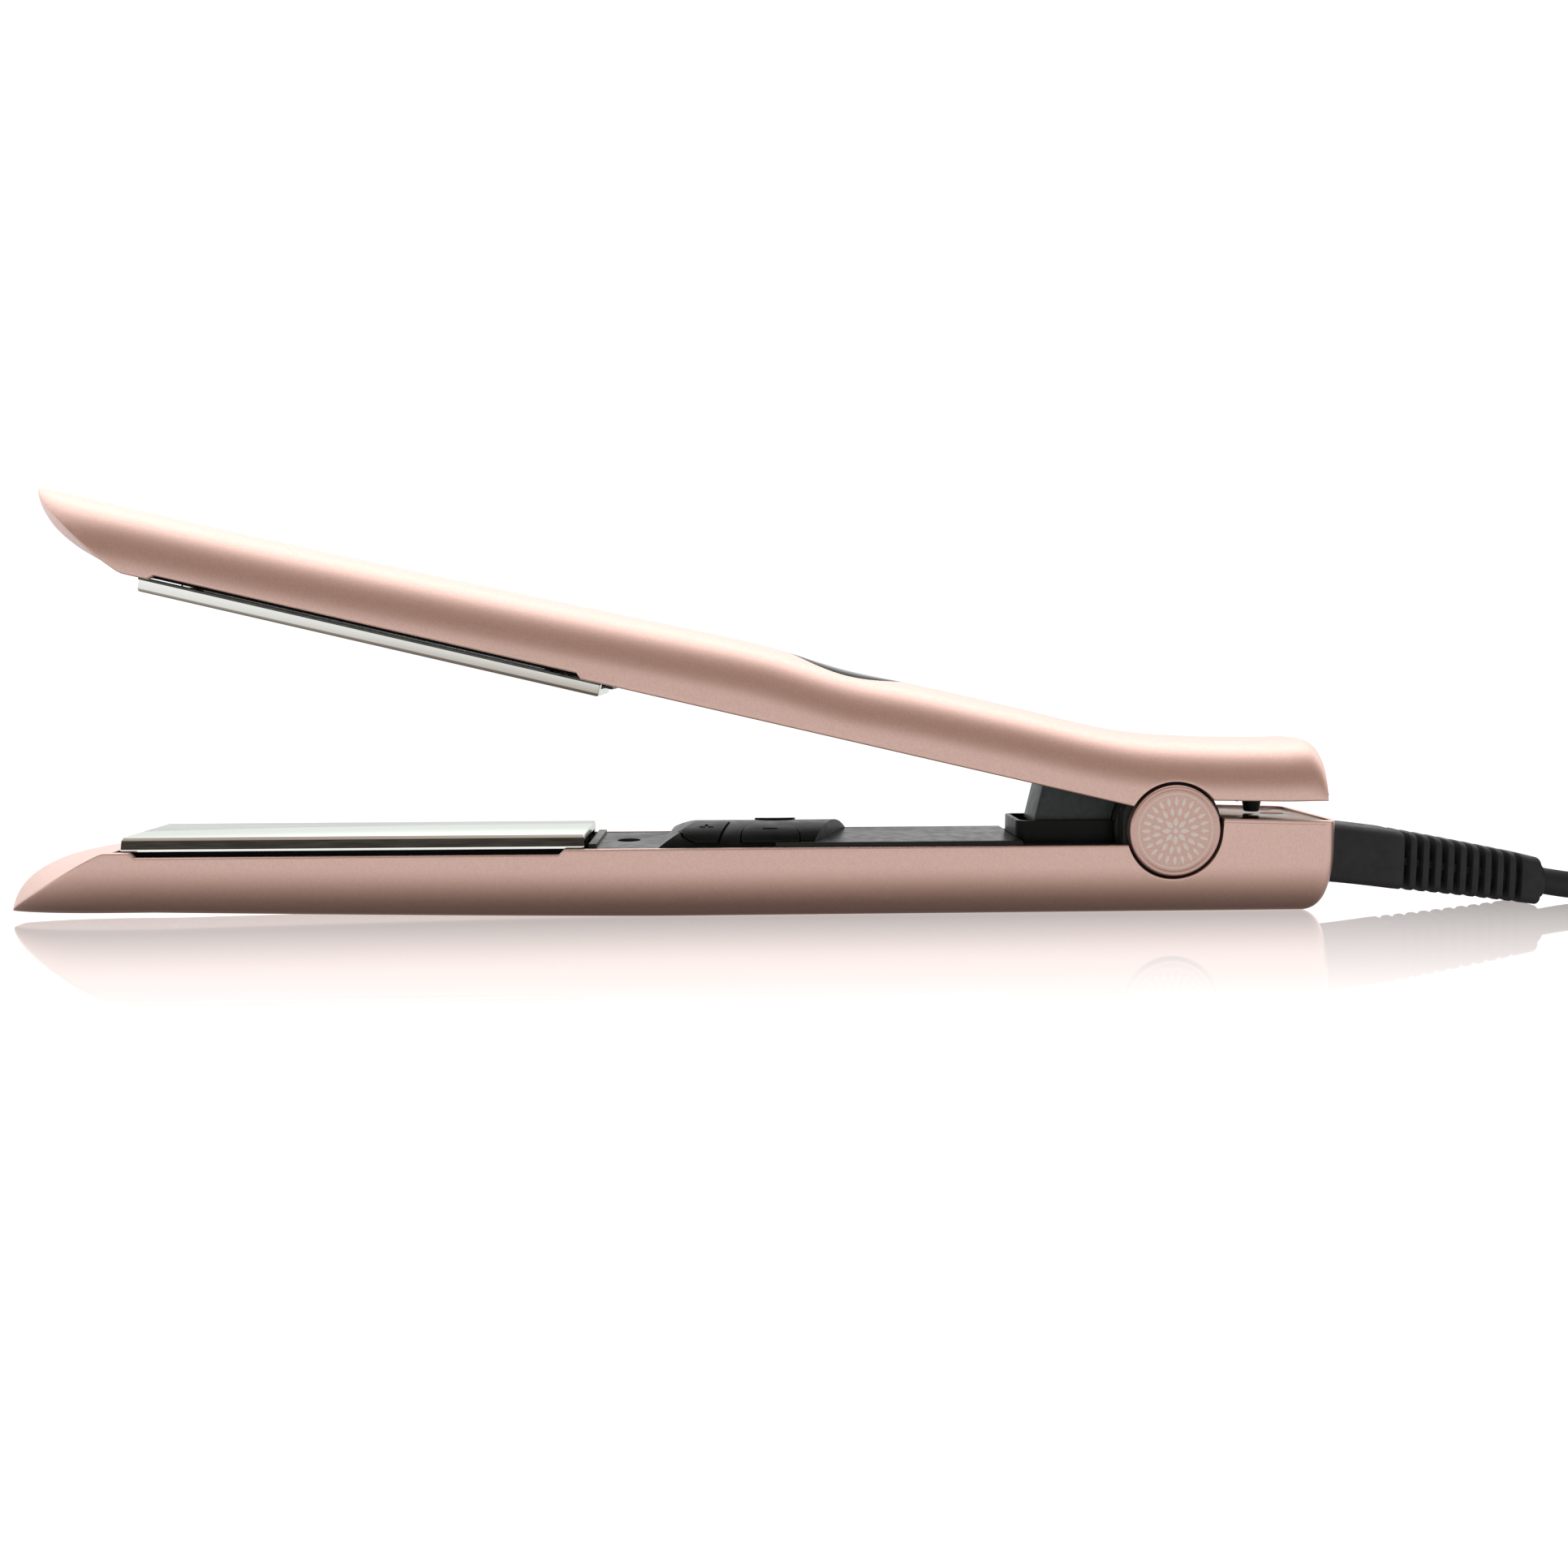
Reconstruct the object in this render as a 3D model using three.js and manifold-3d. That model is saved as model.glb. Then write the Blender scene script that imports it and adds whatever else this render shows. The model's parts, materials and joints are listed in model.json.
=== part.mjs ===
// A hair-straightening flat iron: two hinged arms with heated plates, resting on its lower arm and
// sprung open, with its mains cord folded into a tied hank behind it.
// Millimetres. +X runs from the plates to the cord, +Y away from the keypad side, +Z up.
// The origin is on the table, straight under the hinge axis.
// Both arms are drawn about the hinge axis with the iron shut: the plates meet at z = 0.
import * as THREE from 'three';
import { mergeVertices } from 'three/addons/utils/BufferGeometryUtils.js';
import Module from 'manifold-3d';

const wasm = await Module();
wasm.setup();

// ---------------------------------------------------------------- driving dimensions
const HINGE_Z = 20; // hinge axis above the table
const OPEN_ANGLE = THREE.MathUtils.degToRad(13.2); // how far the upper arm stands open at rest
const GAP = 0.3; // clearance between touching pieces

const ARM_HALF_WIDTH = 15.5;
const TIP_X = -264; // front end of both arms
const NOSE_X = -236; // where the nose meets the mating edge
const NOSE_PLAN_X = -240; // where the arm starts to narrow, seen from above
const REAR_X = 38.3; // rear end of the lower arm
const TAIL_X = 35.2; // rear end of the upper arm, shut
const WALL = 1.4;
const ROUND_HEIGHT = 12.5; // height of the rounded part of an arm's section
const EDGE_Z = 3.2; // mating edge of each casing, from the hinge plane
const NOTCH_Z = 4.3; // the edge beside the plate is cut back to here
const NOTCH_START_X = -231.6;
const NOTCH_END_X = -137;
const NOTCH_SLANT = 1.2;
const NOSE_TIP_Z = 17.4; // height of both tips from the hinge plane
const NOSE_ROUND_X = -237.5; // from here forward a nose's face also falls away to its sides
const NOSE_FALL = 0.44; // how much lower the sides are, for each millimetre past that

const CHEEK_CUT_R = 11; // round cut-out in both casings, around the cap
const BARREL_R = 11.7;
const CAP_R = 10.35;
const CHEEK_IN_Y = 9.2; // the lower deck's hinge cheeks lie between these
const CHEEK_OUT_Y = 12.6;
const KNUCKLE_Y = 8.7; // half length of the upper deck's knuckle
const PIN_R = 2.4;
const BUSH_R = 4.4;

const PLATE_START_X = -234.4;
const PLATE_END_X = -132.8;
const PLATE_HALF_WIDTH = 12.7;
const PLATE_FACE_Z = 0.15;
const FLANGE_Z = 3.3; // underside of the plate's flange
const CARRIER_Z = 7.6; // back of the plate carrier
const BED_Z = 11.2; // the deck's floor behind the carrier

const DECK_HALF_WIDTH = ARM_HALF_WIDTH - WALL - GAP;
const DECK_Z = -3.3; // top of the lower deck
const DECK_THICKNESS = 1.6;
const RAISED_DECK_Z = -2.3; // the deck is a little higher from the pod to the spring tray
const RAISED_DECK_X = -90;
const RIB_X = -131.9; // rib across each deck, behind the plates
const SCREW_X = -123.8;

const POD_CREST_Z = 1.1;
const POD_BASE_HALF_WIDTH = 13.6;
const KEY_PROUD = 0.35;
const BOARD_Z = -8.4;
const BOARD_THICKNESS = 1.2;

const TRAY_START_X = -34.2;
const TRAY_END_X = -12.6;
const TRAY_HALF_WIDTH = 7.6;
const TRAY_RIM_Z = 1.5;
const TRAY_BASE_Z = -9.8;
const SHROUD_HALF_WIDTH = 5.9;
const SHROUD_START_X = -30;
const SHROUD_END_X = -14.6;
const SPRING_X = -22.6;
const SPRING_R = 3.9;
const SPRING_WIRE_R = 0.5;
const SPRING_TURNS = 5;

const CORD_R = 3.2;
const CORD_TABLE_Z = CORD_R - HINGE_Z + 0.05; // centre of a cord that lies on the table
const RELIEF_END_X = 93.6;
const HANK_START_X = 110;
const HANK_RUN = 120; // between the centres of the hank's end loops
const HANK_LOOP_R = 26.9 + CORD_R;
const HANK_WAIST = 13.2;
const HANK_HEIGHT = 6 * CORD_R;
const HANK_HUMP = 2 * CORD_R; // its near loops lie over the cord that comes in

// ---------------------------------------------------------------- shapes
/** A solid from a closed three.js geometry. */
function solid(geometry) {
  const bare = geometry.index ? geometry : mergeVertices(geometry);
  bare.deleteAttribute('normal');
  bare.deleteAttribute('uv');
  const merged = mergeVertices(bare, 1e-5);
  return new wasm.Manifold(new wasm.Mesh({
    numProp: 3,
    vertProperties: new Float32Array(merged.attributes.position.array),
    triVerts: new Uint32Array(merged.index.array),
  }));
}

/** The geometry of a solid. */
function geometryOf(body) {
  const mesh = body.getMesh();
  const geometry = new THREE.BufferGeometry();
  geometry.setAttribute('position', new THREE.BufferAttribute(new Float32Array(mesh.vertProperties), 3));
  geometry.setIndex(new THREE.BufferAttribute(new Uint32Array(mesh.triVerts), 1));
  return geometry;
}

function extruded(points, depth) {
  const shape = new THREE.Shape(points.map(([x, y]) => new THREE.Vector2(x, y)));
  return new THREE.ExtrudeGeometry(shape, { depth, bevelEnabled: false });
}

/** A plan outline [x, y] between two heights. */
function prismZ(points, z0, z1) {
  return solid(extruded(points, z1 - z0).translate(0, 0, z0));
}

/** A side outline [x, z] between two depths. */
function prismY(points, y0, y1) {
  return solid(extruded(points, y1 - y0).rotateX(Math.PI / 2).translate(0, y1, 0));
}

/** A cross-section [y, z] between two stations along the arm. */
function prismX(points, x0, x1) {
  const cycle = new THREE.Matrix4().makeBasis(
    new THREE.Vector3(0, 1, 0), new THREE.Vector3(0, 0, 1), new THREE.Vector3(1, 0, 0));
  return solid(extruded(points, x1 - x0).applyMatrix4(cycle).translate(x0, 0, 0));
}

function box([x0, x1], [y0, y1], [z0, z1]) {
  const geometry = new THREE.BoxGeometry(x1 - x0, y1 - y0, z1 - z0);
  return solid(geometry.translate((x0 + x1) / 2, (y0 + y1) / 2, (z0 + z1) / 2));
}

/** A turned solid about Y at (x, z), from a profile of [radius, y]. */
function turnedY(profile, x = 0, z = 0, sides = 32) {
  const points = profile.map(([r, y]) => new THREE.Vector2(r, y));
  return solid(new THREE.LatheGeometry(points, sides).translate(x, 0, z));
}

/** A turned solid about Z at (x, y), from a profile of [radius, z]. */
function turnedZ(profile, x = 0, y = 0, sides = 16) {
  const points = profile.map(([r, z]) => new THREE.Vector2(r, z));
  return solid(new THREE.LatheGeometry(points, sides).rotateX(Math.PI / 2).translate(x, y, 0));
}

function rodY(r, y0, y1, x = 0, z = 0, sides = 32) {
  return turnedY([[0, y0], [r, y0], [r, y1], [0, y1]], x, z, sides);
}

/** A round bar along X, centred on (y, z). */
function rodX(r, x0, x1, y, z, sides = 24) {
  return prismX(arc(y, z, r, r, 0, 360 - 360 / sides, sides - 1), x0, x1);
}

function rodZ(r, z0, z1, x = 0, y = 0, sides = 16) {
  return turnedZ([[0, z0], [r, z0], [r, z1], [0, z1]], x, y, sides);
}

/** Points on an ellipse from one angle to another, in degrees. */
function arc(cx, cy, rx, ry, from, to, steps) {
  return Array.from({ length: steps + 1 }, (_, i) => {
    const angle = THREE.MathUtils.degToRad(from + (to - from) * i / steps);
    return [cx + rx * Math.cos(angle), cy + ry * Math.sin(angle)];
  });
}

/** A rectangle with round corners, centred on (cx, cy). */
function roundedRectangle(cx, cy, halfLength, halfWidth, r, steps = 4) {
  const [a, b] = [halfLength - r, halfWidth - r];
  return [
    ...arc(cx + a, cy + b, r, r, 0, 90, steps), ...arc(cx - a, cy + b, r, r, 90, 180, steps),
    ...arc(cx - a, cy - b, r, r, 180, 270, steps), ...arc(cx + a, cy - b, r, r, 270, 360, steps),
  ];
}

/** A closed skin through rings of [x, y, z], each anticlockwise seen from +X. */
function loft(rings) {
  const count = rings[0].length;
  const last = (rings.length - 1) * count;
  const index = [];
  for (let start = 0; start < last; start += count) {
    for (let i = 0; i < count; i++) {
      const [a, b] = [start + i, start + (i + 1) % count];
      index.push(a, b, b + count, a, b + count, a + count);
    }
  }
  for (let i = 1; i < count - 1; i++) {
    index.push(0, i + 1, i, last, last + i, last + i + 1);
  }
  const geometry = new THREE.BufferGeometry();
  geometry.setAttribute('position', new THREE.Float32BufferAttribute(rings.flat(2), 3));
  geometry.setIndex(index);
  return solid(geometry);
}

/** A round tube along points, closed at both ends. */
function tube(points, r, sides, steps) {
  const path = new THREE.CatmullRomCurve3(points.map((p) => new THREE.Vector3(...p)));
  const section = new THREE.Shape(arc(0, 0, r, r, 0, 360 - 360 / sides, sides - 1)
    .map(([x, y]) => new THREE.Vector2(x, y)));
  return solid(new THREE.ExtrudeGeometry(section, { extrudePath: path, steps }));
}

/** Turned about the hinge axis, from the open position back to the shut one. */
function shut(body) {
  return solid(geometryOf(body).applyMatrix4(new THREE.Matrix4().makeRotationY(-OPEN_ANGLE)));
}

const joined = (first, ...rest) => rest.reduce((whole, piece) => whole.add(piece), first);
const cut = (first, ...rest) => rest.reduce((whole, piece) => whole.subtract(piece), first);

// ---------------------------------------------------------------- materials
const material = (color, roughness, metalness) => ({ color, roughness, metalness });
const ROSE = material(0xd9ada0, 0.35, 0.85);
const BLACK = material(0x2a2c2c, 0.5, 0);
const GLOSS_BLACK = material(0x0c0d0e, 0.12, 0);
const MIRROR = material(0xd8dadb, 0.08, 1);
const STEEL = material(0xb4b6b8, 0.3, 1);
const RUBBER = material(0x24262a, 0.75, 0);
const SILICONE = material(0x8c3b32, 0.7, 0);
const CERAMIC = material(0xe8e4da, 0.6, 0);
const BOARD = material(0x1f5a3a, 0.5, 0);
const BRASS = material(0xc49a4a, 0.3, 1);
const LEAD_RED = material(0x9c2f2a, 0.55, 0);
const LEAD_BLUE = material(0x2c4a8c, 0.55, 0);

const lowerArm = new THREE.Group();
lowerArm.position.z = HINGE_Z;
const upperArm = new THREE.Group();
upperArm.position.z = HINGE_Z;
upperArm.rotation.y = OPEN_ANGLE;

function add(group, name, body, look) {
  const mesh = new THREE.Mesh(geometryOf(body), new THREE.MeshStandardMaterial(look));
  mesh.name = name;
  group.add(mesh);
}

// ---------------------------------------------------------------- the arms' outer form
/** How far an arm's outside is from the hinge plane at a station along the lower arm. */
function lowerCrown(x) {
  const rise = 1.9 * Math.min(Math.max((-115 - x) / 115, 0), 1) ** 1.3;
  const corner = 5;
  const past = Math.max(x - (REAR_X - corner), 0);
  return -HINGE_Z + rise + corner - Math.sqrt(corner ** 2 - Math.min(past, corner) ** 2);
}

// The upper arm's outside swells towards the thumb dish, dips there, and climbs over the tail.
const UPPER_OUTLINE = new THREE.SplineCurve([
  [-264, 17.4], [-218, 17.5], [-163, 18.4], [-120, 19.4], [-99, 19.6], [-80, 18.4], [-62, 18.8],
  [-40, 18.9], [-21, 18.8], [-9, 19.6], [6, 22.1], [18, 24.7], [27, 26.6], [31, 26.7],
  [33.6, 25.4], [TAIL_X, 22.4],
].map(([x, z]) => new THREE.Vector2(x, z)));
const UPPER_OUTLINE_POINTS = UPPER_OUTLINE.getPoints(150);

function upperCrown(x) {
  const next = Math.max(1, UPPER_OUTLINE_POINTS.findIndex((p) => p.x >= x - 1e-6));
  const [a, b] = [UPPER_OUTLINE_POINTS[next - 1], UPPER_OUTLINE_POINTS[next]];
  return a.y + (b.y - a.y) * Math.min(Math.max((x - a.x) / (b.x - a.x), 0), 1);
}

/** An arm narrows to a blunt round end past its nose, seen from above. */
function halfWidth(x) {
  const past = Math.max(NOSE_PLAN_X - x, 0);
  return ARM_HALF_WIDTH * Math.sqrt(1 - (past / 26) ** 2);
}

/** One D-shaped ring: straight sides from `mate`, then a quarter ellipse to a flat at `crown`. */
function armRing(x, width, flat, mate, crown) {
  const up = Math.sign(crown);
  const shoulder = crown - up * ROUND_HEIGHT;
  const side = [[width, mate], ...arc(flat, shoulder, width - flat, up * ROUND_HEIGHT, 0, 90, 6)];
  const ordered = up > 0 ? side : [...side].reverse();
  const mirrored = [...ordered].reverse().map(([y, z]) => [-y, z]);
  return [...ordered, ...mirrored].map(([y, z]) => [x, y, z]);
}

/** The arm's solid form with its wall taken off by `inset`, open well past the mating plane. */
function armForm(crown, flat, stations, inset) {
  const up = Math.sign(crown(0));
  return loft(stations.map((x) => {
    const width = halfWidth(x);
    return armRing(x, width - inset, flat * width / ARM_HALF_WIDTH, -14 * up, crown(x) - up * inset);
  }));
}

const NOSE_STATIONS = [-264, -262, -258, -250, NOSE_PLAN_X];
const LOWER_STATIONS = [-200, -155, -115, REAR_X - 5, REAR_X - 2.6, REAR_X - 0.9, REAR_X - 0.05];
const UPPER_STATIONS = [-163, -118, -99, -89, -80, -70, -58, -21, -9, 4, 18, 27, 31, 33.6, TAIL_X];
const CAVITY_START_X = NOSE_X + 0.4;

const LOWER_FLAT = 6;
const UPPER_FLAT = 3.5;

function lowerForm(inset) {
  return armForm(lowerCrown, LOWER_FLAT, [...NOSE_STATIONS, ...LOWER_STATIONS], inset);
}

function upperForm(inset) {
  return armForm(upperCrown, UPPER_FLAT, [...NOSE_STATIONS, ...UPPER_STATIONS], inset);
}

/** What lies inside a casing's walls, less a clearance. */
function hollow(form, rearX, clearance) {
  const reach = box([CAVITY_START_X + clearance, rearX - WALL - clearance], [-20, 20], [-30, 30]);
  return form(WALL + clearance).intersect(reach);
}

const lowerHollow = hollow(lowerForm, REAR_X, GAP);
const upperHollow = hollow(upperForm, TAIL_X, GAP);

/** The mating edge with its notch, as [x, z] with z away from the other arm. */
function nearEdge() {
  return [
    [TIP_X - 5, EDGE_Z], [NOTCH_START_X, EDGE_Z], [NOTCH_START_X + NOTCH_SLANT, NOTCH_Z],
    [NOTCH_END_X - NOTCH_SLANT, NOTCH_Z], [NOTCH_END_X, EDGE_Z],
  ];
}

/** What lies past the lower arm's nose: its face curves down to the tip and off to both sides. */
function pastLowerNose() {
  const stations = arc(NOSE_X, 0, NOSE_X - TIP_X + 0.4, 1, 180, 90, 12).map(([x]) => x);
  return loft(stations.map((x) => {
    const share = Math.min((NOSE_X - x) / (NOSE_X - TIP_X), 1);
    const middle = NOSE_TIP_Z - (NOSE_TIP_Z - EDGE_Z) * Math.sqrt(1 - share ** 2);
    const fall = NOSE_FALL * Math.max(NOSE_ROUND_X - x, 0);
    const face = Array.from({ length: 13 }, (_, i) => (i - 6) / 5.5)
      .map((out) => [x, out * halfWidth(x), -middle - fall * out ** 2]);
    return [[x, 0, 0], [x, face[0][1], 0], ...face, [x, face[12][1], 0]];
  }));
}

/** A screw along Z: head at `top`, pointing down for sign -1 and up for sign 1. */
function screwZ(x, y, top, length, sign, headR = 2.4, shankR = 1.25) {
  const head = 1.5;
  const ends = [[0, top], [headR, top], [headR, top + sign * head], [shankR, top + sign * head],
    [shankR, top + sign * (length - 1)], [0.4, top + sign * length], [0, top + sign * length]];
  const body = turnedZ(sign > 0 ? ends : [...ends].reverse(), x, y, 12);
  const slot = box([x - headR, x + headR], [y - 0.35, y + 0.35],
    sign > 0 ? [top - 1, top + 0.6] : [top - 0.6, top + 1]);
  return body.subtract(slot);
}

// ---------------------------------------------------------------- lower casing
const REAR_FRONT_X = 11.2; // front of the raised rear block
const REAR_TOP_FRONT_Z = 2.7;
const REAR_TOP_BACK_Z = 1.9;
const BOSS_TOP_Z = -9.6;
const REAR_SCREW_X = 17;
const REAR_SCREW_Y = 7.2;
const RELIEF_Z = -6.7; // centre of the strain relief where it leaves the casing

function lowerCasing() {
  const edge = nearEdge().map(([x, z]) => [x, -z]);
  const cheek = arc(0, 0, CHEEK_CUT_R, CHEEK_CUT_R, 197, 360, 20);
  const keep = prismY([
    [TIP_X - 5, -25], ...edge, ...cheek,
    [REAR_FRONT_X, REAR_TOP_FRONT_Z], [REAR_X + 5, REAR_TOP_BACK_Z], [REAR_X + 5, -25],
  ], -20, 20);
  const inside = hollow(lowerForm, REAR_X, 0);
  const bosses = joined(
    rodZ(3.4, -19.4, BOSS_TOP_Z, SCREW_X, 0),
    rodZ(2.6, -19.4, -16.4, REAR_SCREW_X, REAR_SCREW_Y),
    rodZ(2.6, -19.4, -16.4, REAR_SCREW_X, -REAR_SCREW_Y),
  );
  const pilots = [
    rodZ(1.6, -18.4, 0, SCREW_X, 0),
    rodZ(1.6, -19.2, 0, REAR_SCREW_X, REAR_SCREW_Y),
    rodZ(1.6, -19.2, 0, REAR_SCREW_X, -REAR_SCREW_Y),
  ];
  const neck = box([30, 45], [-5.3, 5.3], [RELIEF_Z - 4.8, RELIEF_Z + 4.8]);
  const shell = lowerForm(0).intersect(keep).subtract(pastLowerNose()).subtract(inside);
  return cut(shell.add(bosses.intersect(lowerForm(0.2))), ...pilots, neck);
}
add(lowerArm, 'lower_casing', lowerCasing(), ROSE);

/** The lid between the rear walls, with its locating slot. */
function rearCover() {
  const lid = prismY([
    [REAR_FRONT_X, REAR_TOP_FRONT_Z - 0.25], [REAR_X - WALL - GAP, REAR_TOP_BACK_Z - 0.25],
    [REAR_X - WALL - GAP, REAR_TOP_BACK_Z - 1.7], [REAR_FRONT_X + 3, REAR_TOP_FRONT_Z - 1.7],
    [REAR_FRONT_X + 3, -4], [REAR_FRONT_X, -4],
  ], -DECK_HALF_WIDTH, DECK_HALF_WIDTH);
  const slot = prismZ(roundedRectangle(28.5, 0, 2.8, 0.7, 0.6, 3), -5, 5);
  return cut(lid, rodY(BARREL_R + GAP, -20, 20), slot);
}
add(lowerArm, 'lower_rear_cover', rearCover(), ROSE);

// ---------------------------------------------------------------- plates and what heats them
const CLIP_SPAN = [-222, -146];
const HEATER_SPAN = [-226, -142];

/** The plate: a bevelled slab with a channel and two flanges behind it. */
function plate(sign) {
  const z = (height) => sign * height;
  const outline = [
    [-12.2, PLATE_FACE_Z], [12.2, PLATE_FACE_Z], [PLATE_HALF_WIDTH, 0.65], [PLATE_HALF_WIDTH, 2.8],
    [13.3, 2.9], [13.3, FLANGE_Z], [9.6, FLANGE_Z], [9.6, 1.8], [-9.6, 1.8], [-9.6, FLANGE_Z],
    [-13.3, FLANGE_Z], [-13.3, 2.9], [-PLATE_HALF_WIDTH, 2.8], [-PLATE_HALF_WIDTH, 0.65],
  ].map(([y, height]) => [y, z(height)]);
  return prismX(sign > 0 ? outline : [...outline].reverse(), PLATE_START_X, PLATE_END_X);
}

/** The box between two heights counted away from the hair face. */
function behind(sign, xs, ys, [near, far]) {
  return box(xs, ys, sign > 0 ? [near, far] : [-far, -near]);
}

function heater(sign) {
  return behind(sign, HEATER_SPAN, [-6.5, 6.5], [2.1, 3.3]);
}

/** A pressed spring-steel clip that holds the heater in the plate's channel. */
function heaterClip(sign) {
  const strip = behind(sign, CLIP_SPAN, [-8.6, 8.6], [3.6, 4.2]);
  const windows = [-212, -184, -156].map((x) => behind(sign, [x - 8, x + 8], [-4.5, 4.5], [3, 5]));
  const lips = [-1, 1].map((side) => behind(sign, CLIP_SPAN,
    side > 0 ? [7.9, 8.6] : [-8.6, -7.9], [2.2, 4]));
  return joined(cut(strip, ...windows), ...lips);
}

/** The moulded carrier behind the plate: a shallow open frame that floats on two pads. */
function carrier(sign) {
  const frame = behind(sign, [-233.4, -134], [-12.1, 12.1], [3.6, CARRIER_Z]);
  const well = behind(sign, [-231, -136.4], [-9.8, 9.8], [3, 6.2]);
  const leadHole = behind(sign, [-140, -133], [-3, 3], [5, 9]);
  return cut(frame, well, leadHole);
}

function floatPad(sign, x) {
  const pad = behind(sign, [x - 7, x + 7], [-8, 8], [CARRIER_Z + GAP, BED_Z - GAP]);
  return pad.subtract(behind(sign, [x - 3.5, x + 3.5], [-20, 20], [CARRIER_Z, CARRIER_Z + 1.6]));
}

function addPlateGroup(arm, prefix, sign, sensor) {
  add(arm, `${prefix}_plate`, plate(sign), MIRROR);
  add(arm, `${prefix}_heater`, heater(sign), CERAMIC);
  add(arm, `${prefix}_heater_clip`, heaterClip(sign), STEEL);
  add(arm, `${prefix}_plate_carrier`, carrier(sign), BLACK);
  add(arm, `${prefix}_pad_front`, floatPad(sign, -214), SILICONE);
  add(arm, `${prefix}_pad_rear`, floatPad(sign, -154), SILICONE);
  add(arm, `${prefix}_${sensor}`, behind(sign, [-190, -178], [-2, 2], [3.6, 5.6]), CERAMIC);
}
addPlateGroup(lowerArm, 'lower', -1, 'thermistor');
addPlateGroup(upperArm, 'upper', 1, 'thermal_fuse');

// ---------------------------------------------------------------- decks
/** The trough behind a plate: a floor and two rails, shared by both decks. */
function plateBed(sign) {
  const tray = behind(sign, [CAVITY_START_X, RIB_X + 1.8], [-20, 20], [NOTCH_Z + 0.5, BED_Z + 1.4]);
  const well = behind(sign, [PLATE_START_X - 0.6, PLATE_END_X + 0.5], [-12.6, 12.6], [0, BED_Z]);
  const rib = behind(sign, [RIB_X, RIB_X + 1.8], [-12.2, 12.2], [2.4, NOTCH_Z + 1]);
  return joined(cut(tray, well), rib);
}

const SCREW_HEAD_Z = 5.2;
const SCREW_HOLE_R = 1.6;
const CLAMP_X = [25, 31];
const CLAMP_SCREW_Y = 6.7;
const CLAMP_SPLIT_Z = RELIEF_Z - 1.4;
const CAP_INNER_Y = 13.2;
const CAP_FACE_Y = 15.8;

/** [min, max] across Y on one side of the middle. */
const across = (side, near, far) => (side > 0 ? [near, far] : [-far, -near]);

/** A turned profile on the far side, or its mirror image on the near side. */
function turnedOn(side, profile, sides = 16) {
  return turnedY(side > 0 ? profile : profile.map(([r, y]) => [r, -y]).reverse(), 0, 0, sides);
}

function trayOutline(inset) {
  const [middle, half] = [(TRAY_START_X + TRAY_END_X) / 2, (TRAY_END_X - TRAY_START_X) / 2];
  return roundedRectangle(middle, 0, half - inset, TRAY_HALF_WIDTH - inset, 1.5 - inset);
}

/** A hinge cheek: a round barrel end on a foot, bored for the pin and grooved for the cap. */
function hingeCheek(side) {
  const barrel = rodY(BARREL_R, ...across(side, CHEEK_IN_Y, CHEEK_OUT_Y));
  const foot = box([-14, 14], across(side, CHEEK_IN_Y, 11), [-15.4, -8]);
  const strap = box([-16, -10], across(side, CHEEK_IN_Y, CHEEK_OUT_Y), [-5.5, DECK_Z]);
  const bore = [[0, 0], [PIN_R + GAP, 0], [PIN_R + GAP, 11.2], [4.3, 11.2], [4.3, 14], [0, 14]];
  const groove = [[4.9, 10.8], [6.9, 10.8], [6.9, 14], [4.9, 14], [4.9, 10.8]];
  return cut(joined(barrel, foot, strap), turnedOn(side, bore), turnedOn(side, groove));
}

function lowerDeck() {
  const top = box([RIB_X, TRAY_END_X - GAP], [-20, 20], [DECK_Z - DECK_THICKNESS, DECK_Z]);
  const raised = prismX([
    [-13.8, DECK_Z - 0.5], [13.8, DECK_Z - 0.5], [13.8, RAISED_DECK_Z - 0.7], [13.1, RAISED_DECK_Z],
    [-13.1, RAISED_DECK_Z], [-13.8, RAISED_DECK_Z - 0.7],
  ], RAISED_DECK_X, TRAY_END_X - GAP);
  const skirts = [-1, 1].map((side) => box([RIB_X, TRAY_END_X - GAP], across(side, 12.2, 20),
    [-10, DECK_Z - 0.5]));
  const screwBoss = rodZ(4.4, BOSS_TOP_Z + GAP, DECK_Z - 1, SCREW_X, 0);
  const floor = box([-36, 34.5], [-11, 11], [-15.6, -14.4]);
  const cradle = box(CLAMP_X, [-9.4, 9.4], [-14.6, CLAMP_SPLIT_Z]);
  const body = joined(plateBed(-1), top, raised, ...skirts, screwBoss, floor, cradle,
    hingeCheek(-1), hingeCheek(1));
  const podOpening = box([-112.4, -78], [-12.3, 12.3], [-6, 0]);
  const trayOpening = prismZ(trayOutline(-GAP), -10, 5);
  const screwHole = joined(rodZ(2.75, -7, 0, SCREW_X, 0), rodZ(SCREW_HOLE_R, -20, 0, SCREW_X, 0));
  const leadWay = box([RIB_X - 3, RIB_X + 4], [-3.6, 3.6], [-11, -6]);
  const rearHoles = [-1, 1].map((side) =>
    rodZ(SCREW_HOLE_R, -20, -10, REAR_SCREW_X, side * REAR_SCREW_Y));
  const clampHoles = [-1, 1].map((side) => rodZ(SCREW_HOLE_R, -14, 0, 28, side * CLAMP_SCREW_Y));
  const jacket = rodX(CORD_R + GAP, 20, 40, 0, RELIEF_Z);
  return cut(body, podOpening, trayOpening, screwHole, leadWay, ...rearHoles, ...clampHoles, jacket)
    .intersect(lowerHollow);
}
add(lowerArm, 'lower_deck', lowerDeck(), BLACK);
add(lowerArm, 'deck_screw', screwZ(SCREW_X, 0, -SCREW_HEAD_Z, 10, -1), STEEL);
add(lowerArm, 'rear_screw_near', screwZ(REAR_SCREW_X, -REAR_SCREW_Y, -12.6, 6, -1), STEEL);
add(lowerArm, 'rear_screw_far', screwZ(REAR_SCREW_X, REAR_SCREW_Y, -12.6, 6, -1), STEEL);

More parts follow.
